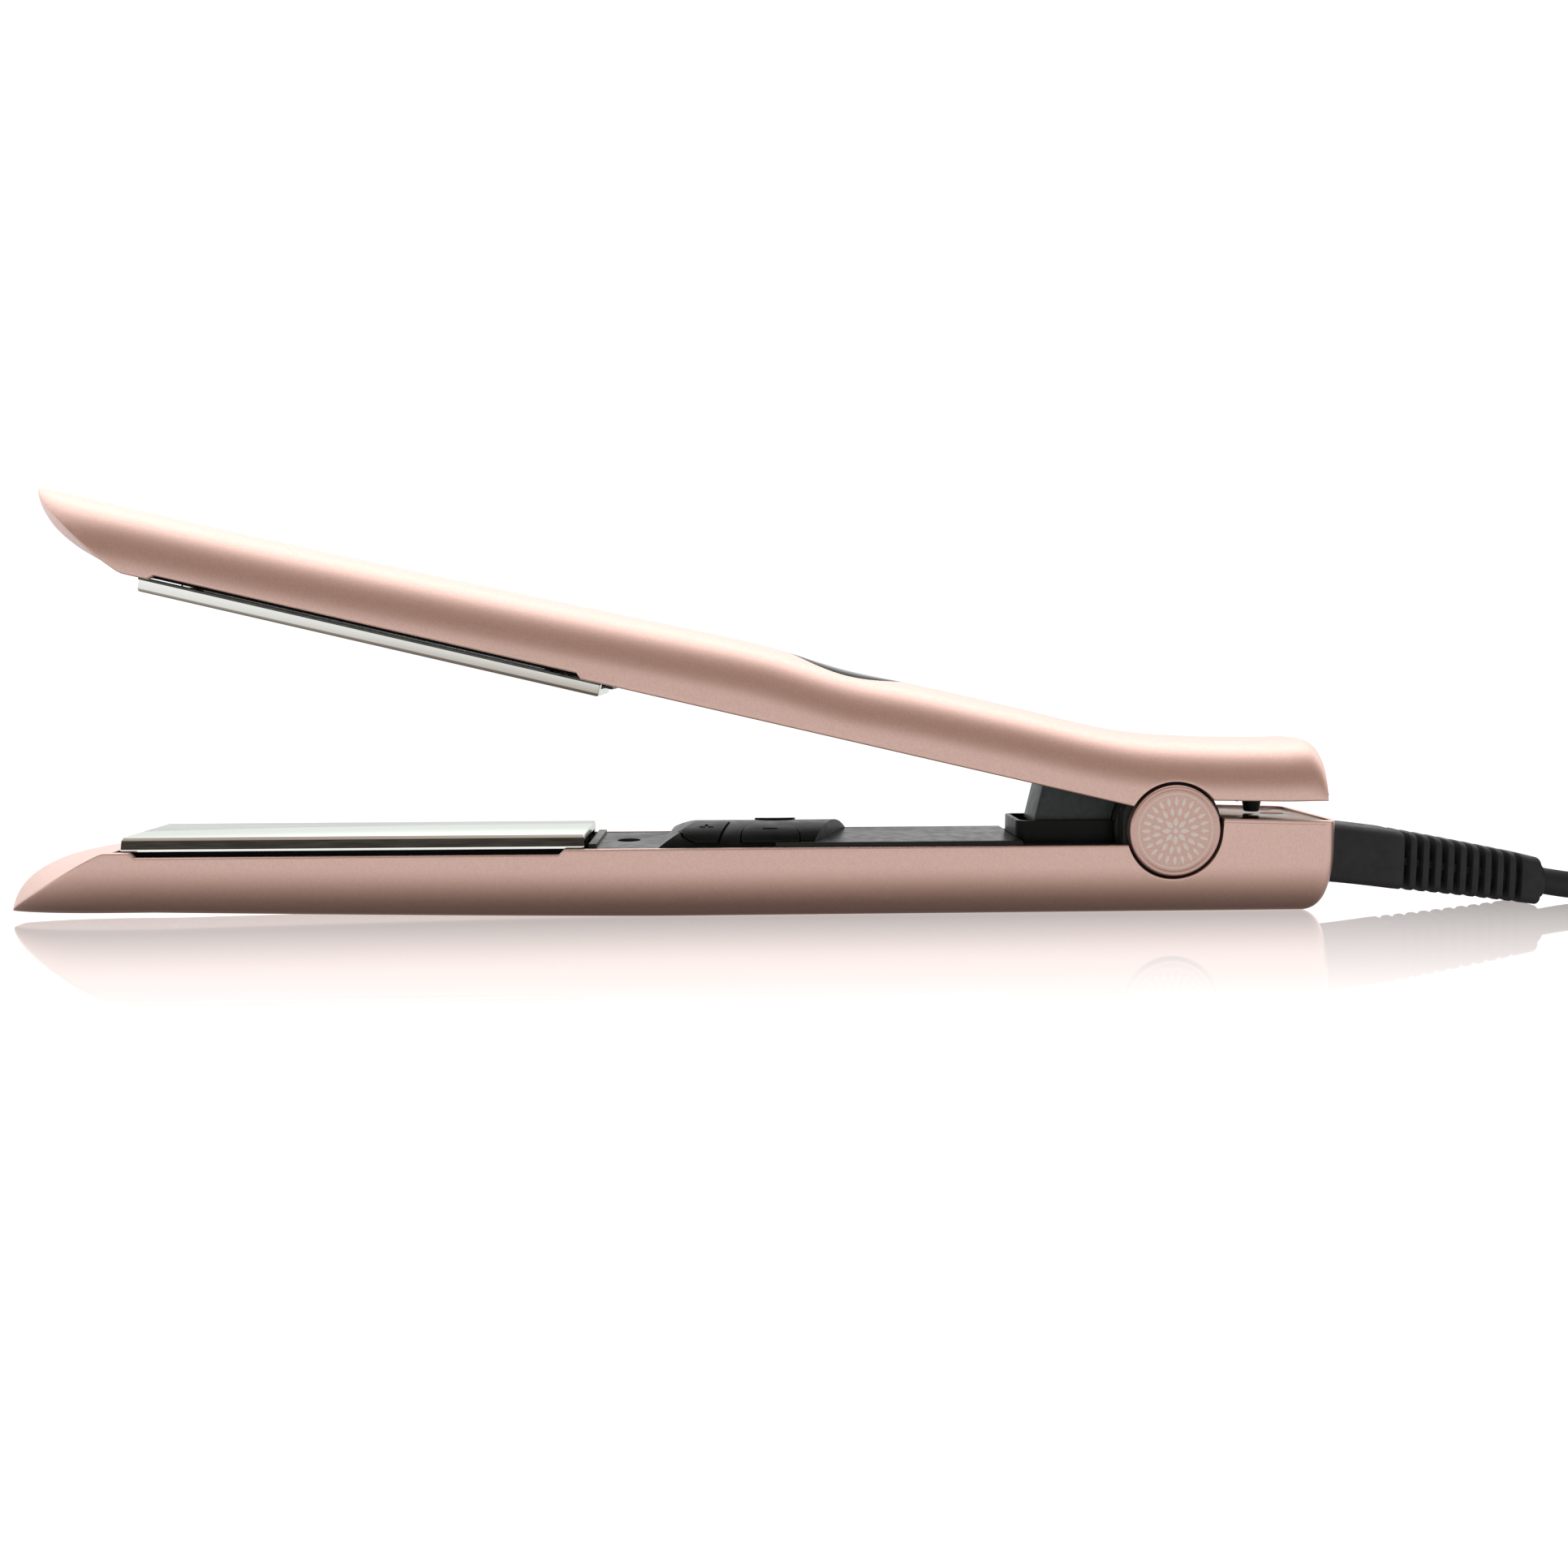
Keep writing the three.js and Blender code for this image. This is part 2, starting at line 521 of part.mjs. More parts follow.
const TAIL_FLOOR = [[12.4, 9.9], [33.3, 14.4]]; // underside of the upper arm's tail, front and back

function upperDeck() {
  const bed = plateBed(1);
  const top = box([RIB_X, -13], [-20, 20], [EDGE_Z + 0.1, EDGE_Z + 0.1 + DECK_THICKNESS]);
  const skirts = [-1, 1].map((side) => box([RIB_X, -13], across(side, 12.2, 20), [EDGE_Z + 0.6, 9]));
  const screwBoss = rodZ(4.4, EDGE_Z + 1, -BOSS_TOP_Z - GAP, SCREW_X, 0);
  const knuckle = rodY(BARREL_R, -KNUCKLE_Y, KNUCKLE_Y);
  const neck = box([-20, 13], [-KNUCKLE_Y, KNUCKLE_Y], [10.2, 12.2]);
  const ties = [-1, 1].map((side) => box([-24, -12.2], across(side, 6.6, KNUCKLE_Y), [EDGE_Z + 1, 12.2]));
  const [[x0, z0], [x1, z1]] = TAIL_FLOOR;
  const tail = prismY([[x0, z0], [x1, z1], [x1, z1 + 1.6], [x0, z0 + 1.6 + 0.7]], -20, 20);
  const tailTie = box([8, 15], [-KNUCKLE_Y, KNUCKLE_Y], [9.4, 12.2]);
  const body = joined(bed, top, ...skirts, screwBoss, knuckle, neck, ...ties, tail, tailTie);
  const shroudHole = prismZ(roundedRectangle((SHROUD_START_X + SHROUD_END_X) / 2, 0,
    (SHROUD_END_X - SHROUD_START_X) / 2 + GAP, SHROUD_HALF_WIDTH + GAP, 1.4, 3), -5, 9.2);
  const screwHole = joined(rodZ(2.75, 0, 7, SCREW_X, 0), rodZ(SCREW_HOLE_R, 0, 20, SCREW_X, 0));
  const leadWay = box([RIB_X - 3, RIB_X + 4], [-3.6, 3.6], [6, 11]);
  const bore = turnedY([[0, -10], [BUSH_R + GAP, -10], [BUSH_R + GAP, -3], [PIN_R + GAP, -3],
    [PIN_R + GAP, 3], [BUSH_R + GAP, 3], [BUSH_R + GAP, 10], [0, 10]], 0, 0, 24);
  const cheekRoom = [-1, 1].map((side) => rodY(BARREL_R + GAP, ...across(side, KNUCKLE_Y + 0.05, 20)));
  const plug = shut(rodZ(2.9, 2, 12, STOP_X, 0, 20));
  return cut(body, shroudHole, screwHole, leadWay, bore, ...cheekRoom, plug).intersect(upperHollow);
}

// ---------------------------------------------------------------- upper casing and its fittings
const WINDOW_X = -80;
const WINDOW_HALF = [15.5, 8.6];
const STOP_X = 23.5; // the open stop's place with the iron open
const STOP_FOOT_Z = 2.5;

function windowRing(grow) {
  return arc(WINDOW_X, 0, WINDOW_HALF[0] + grow, WINDOW_HALF[1] + grow, 0, 342, 19);
}

function upperCasing() {
  const cheek = arc(0, 0, CHEEK_CUT_R, CHEEK_CUT_R, 163, 50, 18);
  const keep = prismY([
    [TIP_X - 5, 35], ...nearEdge(), ...cheek,
    [9.6, 9.1], [TAIL_X - 2, 14.1], [TAIL_X + 5, 14.6], [TAIL_X + 5, 35],
  ].reverse(), -20, 20);
  const pastNose = pastLowerNose().mirror([0, 0, 1]);
  const shell = cut(upperForm(0).intersect(keep), pastNose, hollow(upperForm, TAIL_X, 0));
  const seat = prismZ(windowRing(GAP), 0, 40).subtract(upperForm(WALL + 0.05));
  const boss = rodZ(3.4, -BOSS_TOP_Z, 18.6, SCREW_X, 0).intersect(upperForm(0.2));
  return cut(shell.add(boss), seat, rodZ(SCREW_HOLE_R, 0, 17.3, SCREW_X, 0));
}
add(upperArm, 'upper_casing', upperCasing(), ROSE);
add(upperArm, 'upper_deck', upperDeck(), BLACK);
add(upperArm, 'upper_deck_screw', screwZ(SCREW_X, 0, SCREW_HEAD_Z, 10, 1), STEEL);

/** The glossy window in the thumb dish follows the casing and has a lip behind it. */
function displayWindow() {
  const face = prismZ(windowRing(0), 0, 40).intersect(upperForm(0)).subtract(upperForm(WALL));
  const lip = prismZ(windowRing(1.6), 0, 40).intersect(upperForm(WALL + GAP))
    .subtract(upperForm(WALL + 1.3));
  const neck = prismZ(windowRing(0), 0, 40).intersect(upperForm(WALL - 0.2))
    .subtract(upperForm(WALL + 0.6));
  return joined(face, neck, lip);
}
add(upperArm, 'display_window', displayWindow(), GLOSS_BLACK);
add(upperArm, 'display_board', box([-94, -66], [-6.5, 6.5], [12.2, 13.4]), BOARD);

/** The rubber stop under the tail, drawn upright with the iron open. */
function stopBumper() {
  return shut(turnedZ([[0, STOP_FOOT_Z], [1.5, STOP_FOOT_Z], [2, STOP_FOOT_Z + 0.6], [2, 6],
    [2.6, 6.2], [2.6, 9], [0, 9]], STOP_X, 0, 20));
}
add(upperArm, 'stop_bumper', stopBumper(), RUBBER);

function springShroud() {
  const middle = (SHROUD_START_X + SHROUD_END_X) / 2;
  const half = (SHROUD_END_X - SHROUD_START_X) / 2;
  const outline = (inset) => roundedRectangle(middle, 0, half - inset, SHROUD_HALF_WIDTH - inset,
    1.2 - inset / 2, 3);
  return prismZ(outline(0), -6, 8.6).subtract(prismZ(outline(1), -7, 7.4));
}
add(upperArm, 'spring_shroud', springShroud(), BLACK);

function springTray() {
  return prismZ(trayOutline(0), TRAY_BASE_Z, TRAY_RIM_Z)
    .subtract(prismZ(trayOutline(1), TRAY_BASE_Z + 1.2, TRAY_RIM_Z + 5));
}
add(lowerArm, 'spring_tray', springTray(), BLACK);

/** The coil that opens the iron, from the tray's floor to the shroud's roof. */
function openingSpring() {
  const [low, high] = [TRAY_BASE_Z + 1.2 + GAP + SPRING_WIRE_R, 9.6];
  const points = Array.from({ length: SPRING_TURNS * 10 + 1 }, (_, i) => {
    const angle = i * Math.PI / 5;
    return [SPRING_X + SPRING_R * Math.cos(angle), SPRING_R * Math.sin(angle),
      low + (high - low) * i / (SPRING_TURNS * 10)];
  });
  return tube(points, SPRING_WIRE_R, 6, SPRING_TURNS * 10);
}
add(lowerArm, 'opening_spring', openingSpring(), STEEL);

// ---------------------------------------------------------------- hinge
function hingePin() {
  const profile = [[0, -12.4], [3.7, -12.4], [3.7, -11.5], [PIN_R, -11.5], [PIN_R, 11.3], [1.7, 11.3],
    [1.7, 12.2], [PIN_R, 12.2], [PIN_R, 12.6], [0, 12.6]];
  return turnedY(profile, 0, 0, 16);
}

function hingeBush(side) {
  return turnedOn(side, [[PIN_R + GAP, 3.3], [BUSH_R, 3.3], [BUSH_R, KNUCKLE_Y], [PIN_R + GAP, KNUCKLE_Y],
    [PIN_R + GAP, 3.3]]);
}

/** An E-shaped retaining ring, as an open ring in the pin's groove. */
function pinRing() {
  const ring = turnedY([[2, 11.55], [4, 11.55], [4, 11.95], [2, 11.95], [2, 11.55]], 0, 0, 16);
  return ring.subtract(box([-1.6, 1.6], [11, 13], [0, 6]));
}

/** A round cap: a chamfered disc with a ring that snaps into the cheek's groove. */
function hingeCap(side) {
  const disc = turnedOn(side, [[0, CAP_INNER_Y], [CAP_R, CAP_INNER_Y], [CAP_R, CAP_FACE_Y - 0.4],
    [CAP_R - 0.4, CAP_FACE_Y], [0, CAP_FACE_Y]], 40);
  const ring = turnedOn(side, [[5.2, 11.2], [6.6, 11.2], [6.6, CAP_INNER_Y + 0.5],
    [5.2, CAP_INNER_Y + 0.5], [5.2, 11.2]]);
  return joined(disc, ring);
}
add(lowerArm, 'hinge_pin', hingePin(), STEEL);
add(lowerArm, 'pin_ring', pinRing(), STEEL);
add(lowerArm, 'hinge_cap_near', hingeCap(-1), ROSE);
add(lowerArm, 'hinge_cap_far', hingeCap(1), ROSE);
add(upperArm, 'hinge_bush_near', hingeBush(-1), BRASS);
add(upperArm, 'hinge_bush_far', hingeBush(1), BRASS);

// ---------------------------------------------------------------- control pod
const POD_START_X = [-116.2, -113.4]; // front and far corners of its near end
const POD_END_X = [-81.8, -71.6];
const POD_RAMP_X = -106;
const KEY_Y = [-11.9, -2.6];
const PLUS_X = [-111.8, -101.4];
const MINUS_X = [-97.6, -84.6];
const POWER_KEY = { x: -89.6, y: 3.9, half: [4.8, 3.2] };
const KEY_TRAVEL_ROOM = 0.6;
const SWITCH_TOP_Z = -5.2;

/** The pod's domed section at a height above its own surface. */
function podDome(rise, below) {
  const sagitta = POD_CREST_Z - DECK_Z;
  const radius = (POD_BASE_HALF_WIDTH ** 2 + sagitta ** 2) / (2 * sagitta);
  const half = THREE.MathUtils.radToDeg(Math.asin(POD_BASE_HALF_WIDTH / radius));
  const top = arc(0, POD_CREST_Z - radius, radius + rise, radius + rise, 90 - half, 90 + half, 14);
  return [[POD_BASE_HALF_WIDTH, below], ...top, [-POD_BASE_HALF_WIDTH, below]];
}

function podPlan(grow) {
  const y = POD_BASE_HALF_WIDTH + grow;
  return [[POD_START_X[0] - grow, -y], [POD_END_X[0] + grow, -y], [POD_END_X[1] + grow, y],
    [POD_START_X[1] - grow, y]];
}

function plusOutline(grow) {
  const [[x0, x1], [y0, y1]] = [PLUS_X, KEY_Y];
  return [[x0 + 3.5 - grow, y0 - grow], [x1 - 1.6 + grow, y0 - grow], [x1 + 1 + grow, y1 + grow],
    ...arc(x0 + 5 - grow, y1 - 4 + grow, 5, 4, 90, 180, 5), [x0 + 1 - grow, y0 + 2 - grow]];
}

function minusOutline(grow) {
  const [[x0, x1], [y0, y1]] = [MINUS_X, KEY_Y];
  const middle = (x0 + x1) / 2;
  return [[x0 - grow, y0 - grow], [x1 + grow, y0 - grow],
    ...arc(middle, y0 + 1, (x1 - x0) / 2 + grow, y1 - y0 - 1 + grow, 0, 180, 12)];
}

function powerOutline(grow) {
  return arc(POWER_KEY.x, POWER_KEY.y, POWER_KEY.half[0] + grow, POWER_KEY.half[1] + grow, 0, 345, 23);
}

/** What lies behind the pod's rounded front, down to a height. */
function podFront(rise, bottom) {
  return prismY([[POD_START_X[0] - rise, bottom], [-60, bottom], [-60, 3], [POD_RAMP_X, 3],
    ...arc(POD_RAMP_X, DECK_Z, POD_RAMP_X - POD_START_X[0] + rise, POD_CREST_Z - DECK_Z + 0.2 + rise,
      90, 175, 6)], -20, 20);
}

function controlPod() {
  const ramp = podFront(0, DECK_Z + 0.3);
  const overRaised = box([RAISED_DECK_X - GAP, -60], [-20, 20], [-10, RAISED_DECK_Z + 0.3]);
  const dome = prismX(podDome(0, DECK_Z - 3), -125, -65);
  const outside = dome.intersect(prismZ(podPlan(0), -10, 10)).intersect(ramp).subtract(overRaised);
  const inner = prismX(podDome(-1.5, DECK_Z - 3), -112, -80)
    .intersect(box([-110, -79], [-11, 11], [-10, 10]));
  const holes = [plusOutline, minusOutline, powerOutline].map((outline) => prismZ(outline(GAP), -10, 10));
  return cut(outside, inner, ...holes);
}
add(lowerArm, 'control_pod', controlPod(), BLACK);

/** A key: a cap that follows the dome, standing proud of it, on a stem over its switch. */
function key(outline, stemX, stemY, proud) {
  const cap = prismZ(outline, -10, 10).intersect(prismX(podDome(proud, -10), -125, -65))
    .intersect(podFront(proud, -10)).subtract(prismX(podDome(proud - 1.7, -12), -130, -60));
  const stem = rodZ(1.5, SWITCH_TOP_Z + KEY_TRAVEL_ROOM, 0, stemX, stemY, 12)
    .intersect(prismX(podDome(proud - 0.5, -12), -130, -60));
  return joined(cap, stem);
}

/** A tact switch: a square body with a round plunger. */
function tactSwitch(x, y) {
  const base = BOARD_Z + BOARD_THICKNESS + GAP;
  return joined(box([x - 2.6, x + 2.6], [y - 2.6, y + 2.6], [base, SWITCH_TOP_Z - 0.5]),
    rodZ(1.3, SWITCH_TOP_Z - 0.7, SWITCH_TOP_Z, x, y, 12));
}

const KEYS = [
  { name: 'plus', outline: plusOutline(0), x: -105.6, y: -7.4, proud: KEY_PROUD },
  { name: 'minus', outline: minusOutline(0), x: -91.1, y: -7.4, proud: KEY_PROUD },
  { name: 'power', outline: powerOutline(0), x: POWER_KEY.x, y: POWER_KEY.y, proud: 0.8 },
];
for (const { name, outline, x, y, proud } of KEYS) {
  add(lowerArm, `${name}_button`, key(outline, x, y, proud), BLACK);
  add(lowerArm, `${name}_switch`, tactSwitch(x, y), STEEL);
}
const board = box([-117, -66], [-10.5, 10.5], [BOARD_Z, BOARD_Z + BOARD_THICKNESS]);
add(lowerArm, 'control_board', board, BOARD);

// ---------------------------------------------------------------- cord entry and leads
/** Centre height of the strain relief, which droops towards the table. */
function reliefCentre(x) {
  return RELIEF_Z - 0.0586 * Math.max(x - REAR_X, 0) ** 1.222;
}

function reliefForm(stations, halfWidthAt, halfHeightAt, cornerSteps = 1) {
  return loft(stations.map((x) => {
    const [w, h] = [halfWidthAt(x), halfHeightAt(x)];
    return roundedRectangle(0, reliefCentre(x), w, h, Math.min(2.2, w - 0.1, h - 0.1), cornerSteps)
      .map(([y, z]) => [x, y, z]);
  }));
}

function strainRelief() {
  const start = REAR_X + GAP;
  const ribsStart = 57.1;
  const ribsEnd = 90;
  const pitch = 3.05;
  const taper = (x) => Math.max(x - 56, 0) / 34;
  const height = (x) => 6.95 - 1.25 * taper(x);
  const width = (x) => 7 - 0.9 * taper(x);
  const stations = [start, 46, ribsStart, 74, ribsEnd];
  const body = reliefForm(stations, width, height, 2);
  const slots = Array.from({ length: 10 }, (_, i) => {
    const x = ribsStart + 0.75 + i * pitch;
    return solid(new THREE.BoxGeometry(1.5, 20, 20).rotateY(0.14).translate(x, 0, reliefCentre(x)));
  });
  const core = reliefForm([54, 72, 89], () => 4.1, () => 4.1);
  const webs = reliefForm([54, 72, 89], (x) => width(x) - 0.7, () => 0.9);
  const collar = reliefForm([88, RELIEF_END_X], () => 4.9, () => 4.7);
  const neck = prismX(roundedRectangle(0, RELIEF_Z, 5, 4.5, 1, 2), 36, start + 1);
  const flange = prismX(roundedRectangle(0, RELIEF_Z, 6.6, 6, 1, 2), 34.6, 36.6);
  const stub = rodX(CORD_R, 22, 35, 0, RELIEF_Z);
  const dimple = rodZ(0.7, reliefCentre(50.2) + height(50.2) - 1.2, 5, 50.2, 0, 12);
  return cut(joined(cut(body, ...slots), core, webs, collar, neck, flange, stub), dimple);
}
add(lowerArm, 'strain_relief', strainRelief(), RUBBER);

function cordClamp() {
  const saddle = box(CLAMP_X, [-9, 9], [CLAMP_SPLIT_Z + GAP, -2.2]);
  const holes = [-1, 1].map((side) => rodZ(SCREW_HOLE_R, -20, 0, 28, side * CLAMP_SCREW_Y));
  return cut(saddle, rodX(CORD_R + GAP, 20, 40, 0, RELIEF_Z), ...holes);
}
add(lowerArm, 'cord_clamp', cordClamp(), BLACK);
add(lowerArm, 'clamp_screw_near', screwZ(28, -CLAMP_SCREW_Y, -0.4, 12, -1), STEEL);
add(lowerArm, 'clamp_screw_far', screwZ(28, CLAMP_SCREW_Y, -0.4, 12, -1), STEEL);

/** One of the two mains leads, from the cord's end under the hinge to the control board. */
function mainsLead(side) {
  return tube([[21.2, 1.8 * side, -7.2], [17.5, 2.1 * side, -9.4], [12.5, 2.6 * side, -12.8],
    [0, 2.6 * side, -13.1], [-24, 2.6 * side, -13.1], [-42, 3 * side, -12.8], [-56, 3.6 * side, -11.4],
    [-66, 4 * side, -9.7]], 0.8, 6, 18);
}
add(lowerArm, 'live_lead', mainsLead(-1), LEAD_RED);
add(lowerArm, 'neutral_lead', mainsLead(1), LEAD_BLUE);
const lowerHeaterLead = [[-117.5, 3, -9.6], [-121, 5.6, -9.4], [-126, 5.6, -9], [-130, 2, -8.4],
  [-134.6, 0, -7.4], [-138.6, 0, -5.4]];
add(lowerArm, 'lower_heater_lead', tube(lowerHeaterLead, 0.7, 6, 14), LEAD_RED);
const upperHeaterLead = [[-138.6, 0, 5.4], [-134.6, 0, 7.4], [-130, 2, 8.4], [-124, 7, 9],
  [-110, 9, 9.4], [-60, 9, 9.4], [-40, 4, 12.6], [-16, 0, 13.4]];
add(upperArm, 'upper_heater_lead', tube(upperHeaterLead, 0.7, 6, 20), LEAD_RED);

// ---------------------------------------------------------------- cord and plug
const TABLE_GAP = 0.05;
const HANK_BASE_Z = -HINGE_Z + TABLE_GAP;
const HANK_TOP_Z = HANK_BASE_Z + HANK_HEIGHT;
const HANK_LEFT = HANK_START_X + HANK_LOOP_R; // centres of its two end loops
const HANK_RIGHT = HANK_LEFT + HANK_RUN;
const HANK_MIDDLE = (HANK_LEFT + HANK_RIGHT) / 2;
const TIE_HALF = 6;
const TIE_THICKNESS = 1.4;
const PLUG = { x: [164, 197], halfWidth: 12.5, height: 17 };
const PLUG_BASE_Z = HANK_TOP_Z + TIE_THICKNESS + 2 * GAP;
const PLUG_AXIS_Z = PLUG_BASE_Z + PLUG.height / 2;

/** The hank seen from above: round end loops, and a waist where it is tied. */
function hankOutline(grow) {
  const loop = (x, from) => arc(x, 0, HANK_LOOP_R + grow, HANK_LOOP_R + grow, from, from + 180, 10);
  const flank = (side) => [0.15, 0.27, 0.4, 0.5, 0.6, 0.73, 0.85].map((t) => {
    const bulge = (1 + Math.cos(2 * Math.PI * t)) / 2;
    const waist = HANK_WAIST + (HANK_LOOP_R - HANK_WAIST) * bulge;
    return [HANK_LEFT + HANK_RUN * t, side * (waist + grow)];
  });
  return [...loop(HANK_LEFT, 90), ...flank(-1), ...loop(HANK_RIGHT, -90), ...flank(1).reverse()];
}

function cordHank() {
  const hank = prismZ(hankOutline(0), HANK_BASE_Z, HANK_TOP_Z + HANK_HUMP);
  const level = prismY([[HANK_LEFT + 28, HANK_TOP_Z], [400, HANK_TOP_Z], [400, 30], [HANK_LEFT + 2, 30],
    [HANK_LEFT + 2, HANK_TOP_Z + HANK_HUMP]], -50, 50);
  return hank.subtract(level);
}
add(lowerArm, 'cord_hank', cordHank(), RUBBER);

/** A hook-and-loop band around the hank's waist. */
function cordTie() {
  const reach = HANK_WAIST + GAP;
  const bandY = reach + TIE_THICKNESS;
  const [low, high] = [HANK_BASE_Z, HANK_TOP_Z + GAP + TIE_THICKNESS];
  const band = prismX(roundedRectangle(0, (low + high) / 2, bandY, (high - low) / 2, 3),
    HANK_MIDDLE - TIE_HALF, HANK_MIDDLE + TIE_HALF);
  return band.subtract(prismZ(hankOutline(GAP), low - 1, HANK_TOP_Z + GAP));
}
add(lowerArm, 'cord_tie', cordTie(), BLACK);

const cordLead = [[RELIEF_END_X + 1, 0, reliefCentre(RELIEF_END_X + 1)], [98, 0, CORD_TABLE_Z + 1.2],
  [102, 0, CORD_TABLE_Z + 0.6], [106, 0, CORD_TABLE_Z + 0.2], [HANK_START_X - 0.4, 0, CORD_TABLE_Z]];
add(lowerArm, 'cord_lead', tube(cordLead, CORD_R, 10, 8), RUBBER);

// The cord's last length lies on the hank's far side and runs back over the top to the plug.
const onTop = HANK_TOP_Z + 0.4 + CORD_R;
const cordEnd = [[254, 6.5, onTop], [242, 4.8, onTop], [230, 2.6, onTop + 1.2], [218, 0.9, onTop + 3.8],
  [208, 0, PLUG_AXIS_Z - 1.4], [PLUG.x[1] + 1, 0, PLUG_AXIS_Z]];
add(lowerArm, 'cord_end', tube(cordEnd, CORD_R, 10, 12), RUBBER);

/** A two-blade plug, lying flat on the hank with its blades towards the iron. */
function plugBody() {
  const [front, back] = PLUG.x;
  const half = PLUG.halfWidth;
  const plan = [[front, -half], [front + 15, -half], [back - 4, -5.4], [back, -5], [back, 5],
    [back - 4, 5.4], [front + 15, half], [front, half]];
  const profile = prismY([[front, PLUG_BASE_Z + 1], [front + 1, PLUG_BASE_Z], [front + 20, PLUG_BASE_Z],
    [back, PLUG_AXIS_Z - 5], [back, PLUG_AXIS_Z + 5], [front + 20, PLUG_AXIS_Z + PLUG.height / 2],
    [front + 1, PLUG_AXIS_Z + PLUG.height / 2], [front, PLUG_AXIS_Z + PLUG.height / 2 - 1]], -20, 20);
  const sockets = [-1, 1].map((side) => plugBladeAt(side, GAP));
  return cut(prismZ(plan, 0, 50).intersect(profile), ...sockets);
}

function plugBladeAt(side, grow) {
  const y = side * 6.35;
  return box([PLUG.x[0] - 16, PLUG.x[0] + 8 + grow], [y - 0.75 - grow, y + 0.75 + grow],
    [PLUG_AXIS_Z - 3.2 - grow, PLUG_AXIS_Z + 3.2 + grow]);
}
add(lowerArm, 'plug_body', plugBody(), BLACK);
add(lowerArm, 'plug_blade_near', plugBladeAt(-1, 0), BRASS);
add(lowerArm, 'plug_blade_far', plugBladeAt(1, 0), BRASS);

export default new THREE.Group().add(lowerArm, upperArm);
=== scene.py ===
"""The looks of a hair-straightening flat iron, resting on its lower arm and sprung open.

Places are millimetres from the hinge axis with the iron shut, and each arm's placing turns them into
the row frame in metres. The lower arm lies below the hinge plane z = 0 and the upper arm above it.
"""
import json
import math

import bmesh
import bpy
from mathutils import Matrix, Vector


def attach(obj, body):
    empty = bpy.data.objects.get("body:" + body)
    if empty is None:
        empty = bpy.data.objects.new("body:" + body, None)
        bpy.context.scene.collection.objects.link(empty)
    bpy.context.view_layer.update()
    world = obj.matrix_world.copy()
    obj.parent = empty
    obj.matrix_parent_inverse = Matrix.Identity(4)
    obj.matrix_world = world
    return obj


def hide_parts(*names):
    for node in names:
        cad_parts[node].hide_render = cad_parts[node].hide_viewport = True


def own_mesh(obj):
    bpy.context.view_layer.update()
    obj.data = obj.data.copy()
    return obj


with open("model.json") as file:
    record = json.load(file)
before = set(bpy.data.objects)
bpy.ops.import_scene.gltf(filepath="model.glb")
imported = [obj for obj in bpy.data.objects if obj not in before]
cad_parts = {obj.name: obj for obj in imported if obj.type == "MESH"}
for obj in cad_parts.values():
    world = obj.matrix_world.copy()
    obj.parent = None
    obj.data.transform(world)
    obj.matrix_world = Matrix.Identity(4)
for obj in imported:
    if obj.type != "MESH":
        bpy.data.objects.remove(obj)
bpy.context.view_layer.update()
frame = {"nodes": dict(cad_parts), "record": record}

# ---- driving dimensions, in mm
MM = 0.001
HINGE_Z = 20
OPEN_ANGLE = math.radians(13.2)
ARM_HALF_WIDTH = 15.5
TIP_X = -264
NOSE_X = -236
NOSE_PLAN_X = -240
REAR_X = 38
TAIL_X = 34
WALL = 1.4
ROUND_HEIGHT = 12.5
EDGE_Z = 3.2
NOTCH_Z = 4.3
NOTCH = (-231.6, -137)
NOTCH_SLANT = 1.2
NOSE_TIP_Z = 17.4
NOSE_ROUND_X = -237.5  # from here forward a nose's face also falls away to its sides
LOWER_NOSE_FALL = 0.44  # how much lower the sides are, for each millimetre past that
UPPER_NOSE_FALL = 0.37
CAVITY_START_X = NOSE_X + 0.4
CHEEK_CUT_R = 11
REAR_TOP_Z = (2.7, 1.9)  # top of the rear block at its front and its back
CAP_R = 10.35
CAP_INNER_Y = 13.2
CAP_FACE_Y = 15.8
DECK_Z = -3.3
RAISED_DECK_Z = -2.3
RAISED_DECK_X = -90
POD_CREST_Z = 1.1
POD_BASE_HALF_WIDTH = 13.6
CORD_R = 3.2
RELIEF_Z = -6.7
RELIEF_END_X = 93.6
HANK_START_X = 110
HANK_RUN = 120
LOOP_R = (20.5, 26.9)  # inner and outer columns of the hank's end loops
WAIST = (3.3, 9.8)  # the same columns at the tie
HANK_HEIGHT = 6 * CORD_R
STOP_X = 23.5
STOP_FOOT_Z = 2.5

LOWER = Matrix.Translation((0, 0, HINGE_Z))
UPPER = LOWER @ Matrix.Rotation(OPEN_ANGLE, 4, "Y")
ROW = Matrix.Identity(4)
ARM_OF = {"lower": LOWER, "upper": UPPER}


# ---- camera
def make_camera():
    """Low, close to the keypad side, looking slightly down along +Y."""
    pitch, yaw, roll = math.radians(5.626), math.radians(2.315), math.radians(-0.128)
    turn = (Matrix.Rotation(-yaw, 4, "Z") @ Matrix.Rotation(math.pi / 2 - pitch, 4, "X")
            @ Matrix.Rotation(roll, 4, "Z"))
    data = bpy.data.cameras.new("camera")
    data.sensor_width = 36
    data.lens = 29.64
    data.clip_start, data.clip_end = 0.01, 50
    camera = bpy.data.objects.new("camera", data)
    camera.matrix_world = Matrix.Translation((-0.0997, -0.3, 0.0592)) @ turn
    bpy.context.scene.collection.objects.link(camera)
    bpy.context.scene.camera = camera


make_camera()


# ---- materials
def node_in(tree, kind, **inputs):
    """A new shader node with some of its inputs set."""
    made = tree.nodes.new(kind)
    for name, value in inputs.items():
        made.inputs[name.replace("_", " ")].default_value = value
    return made


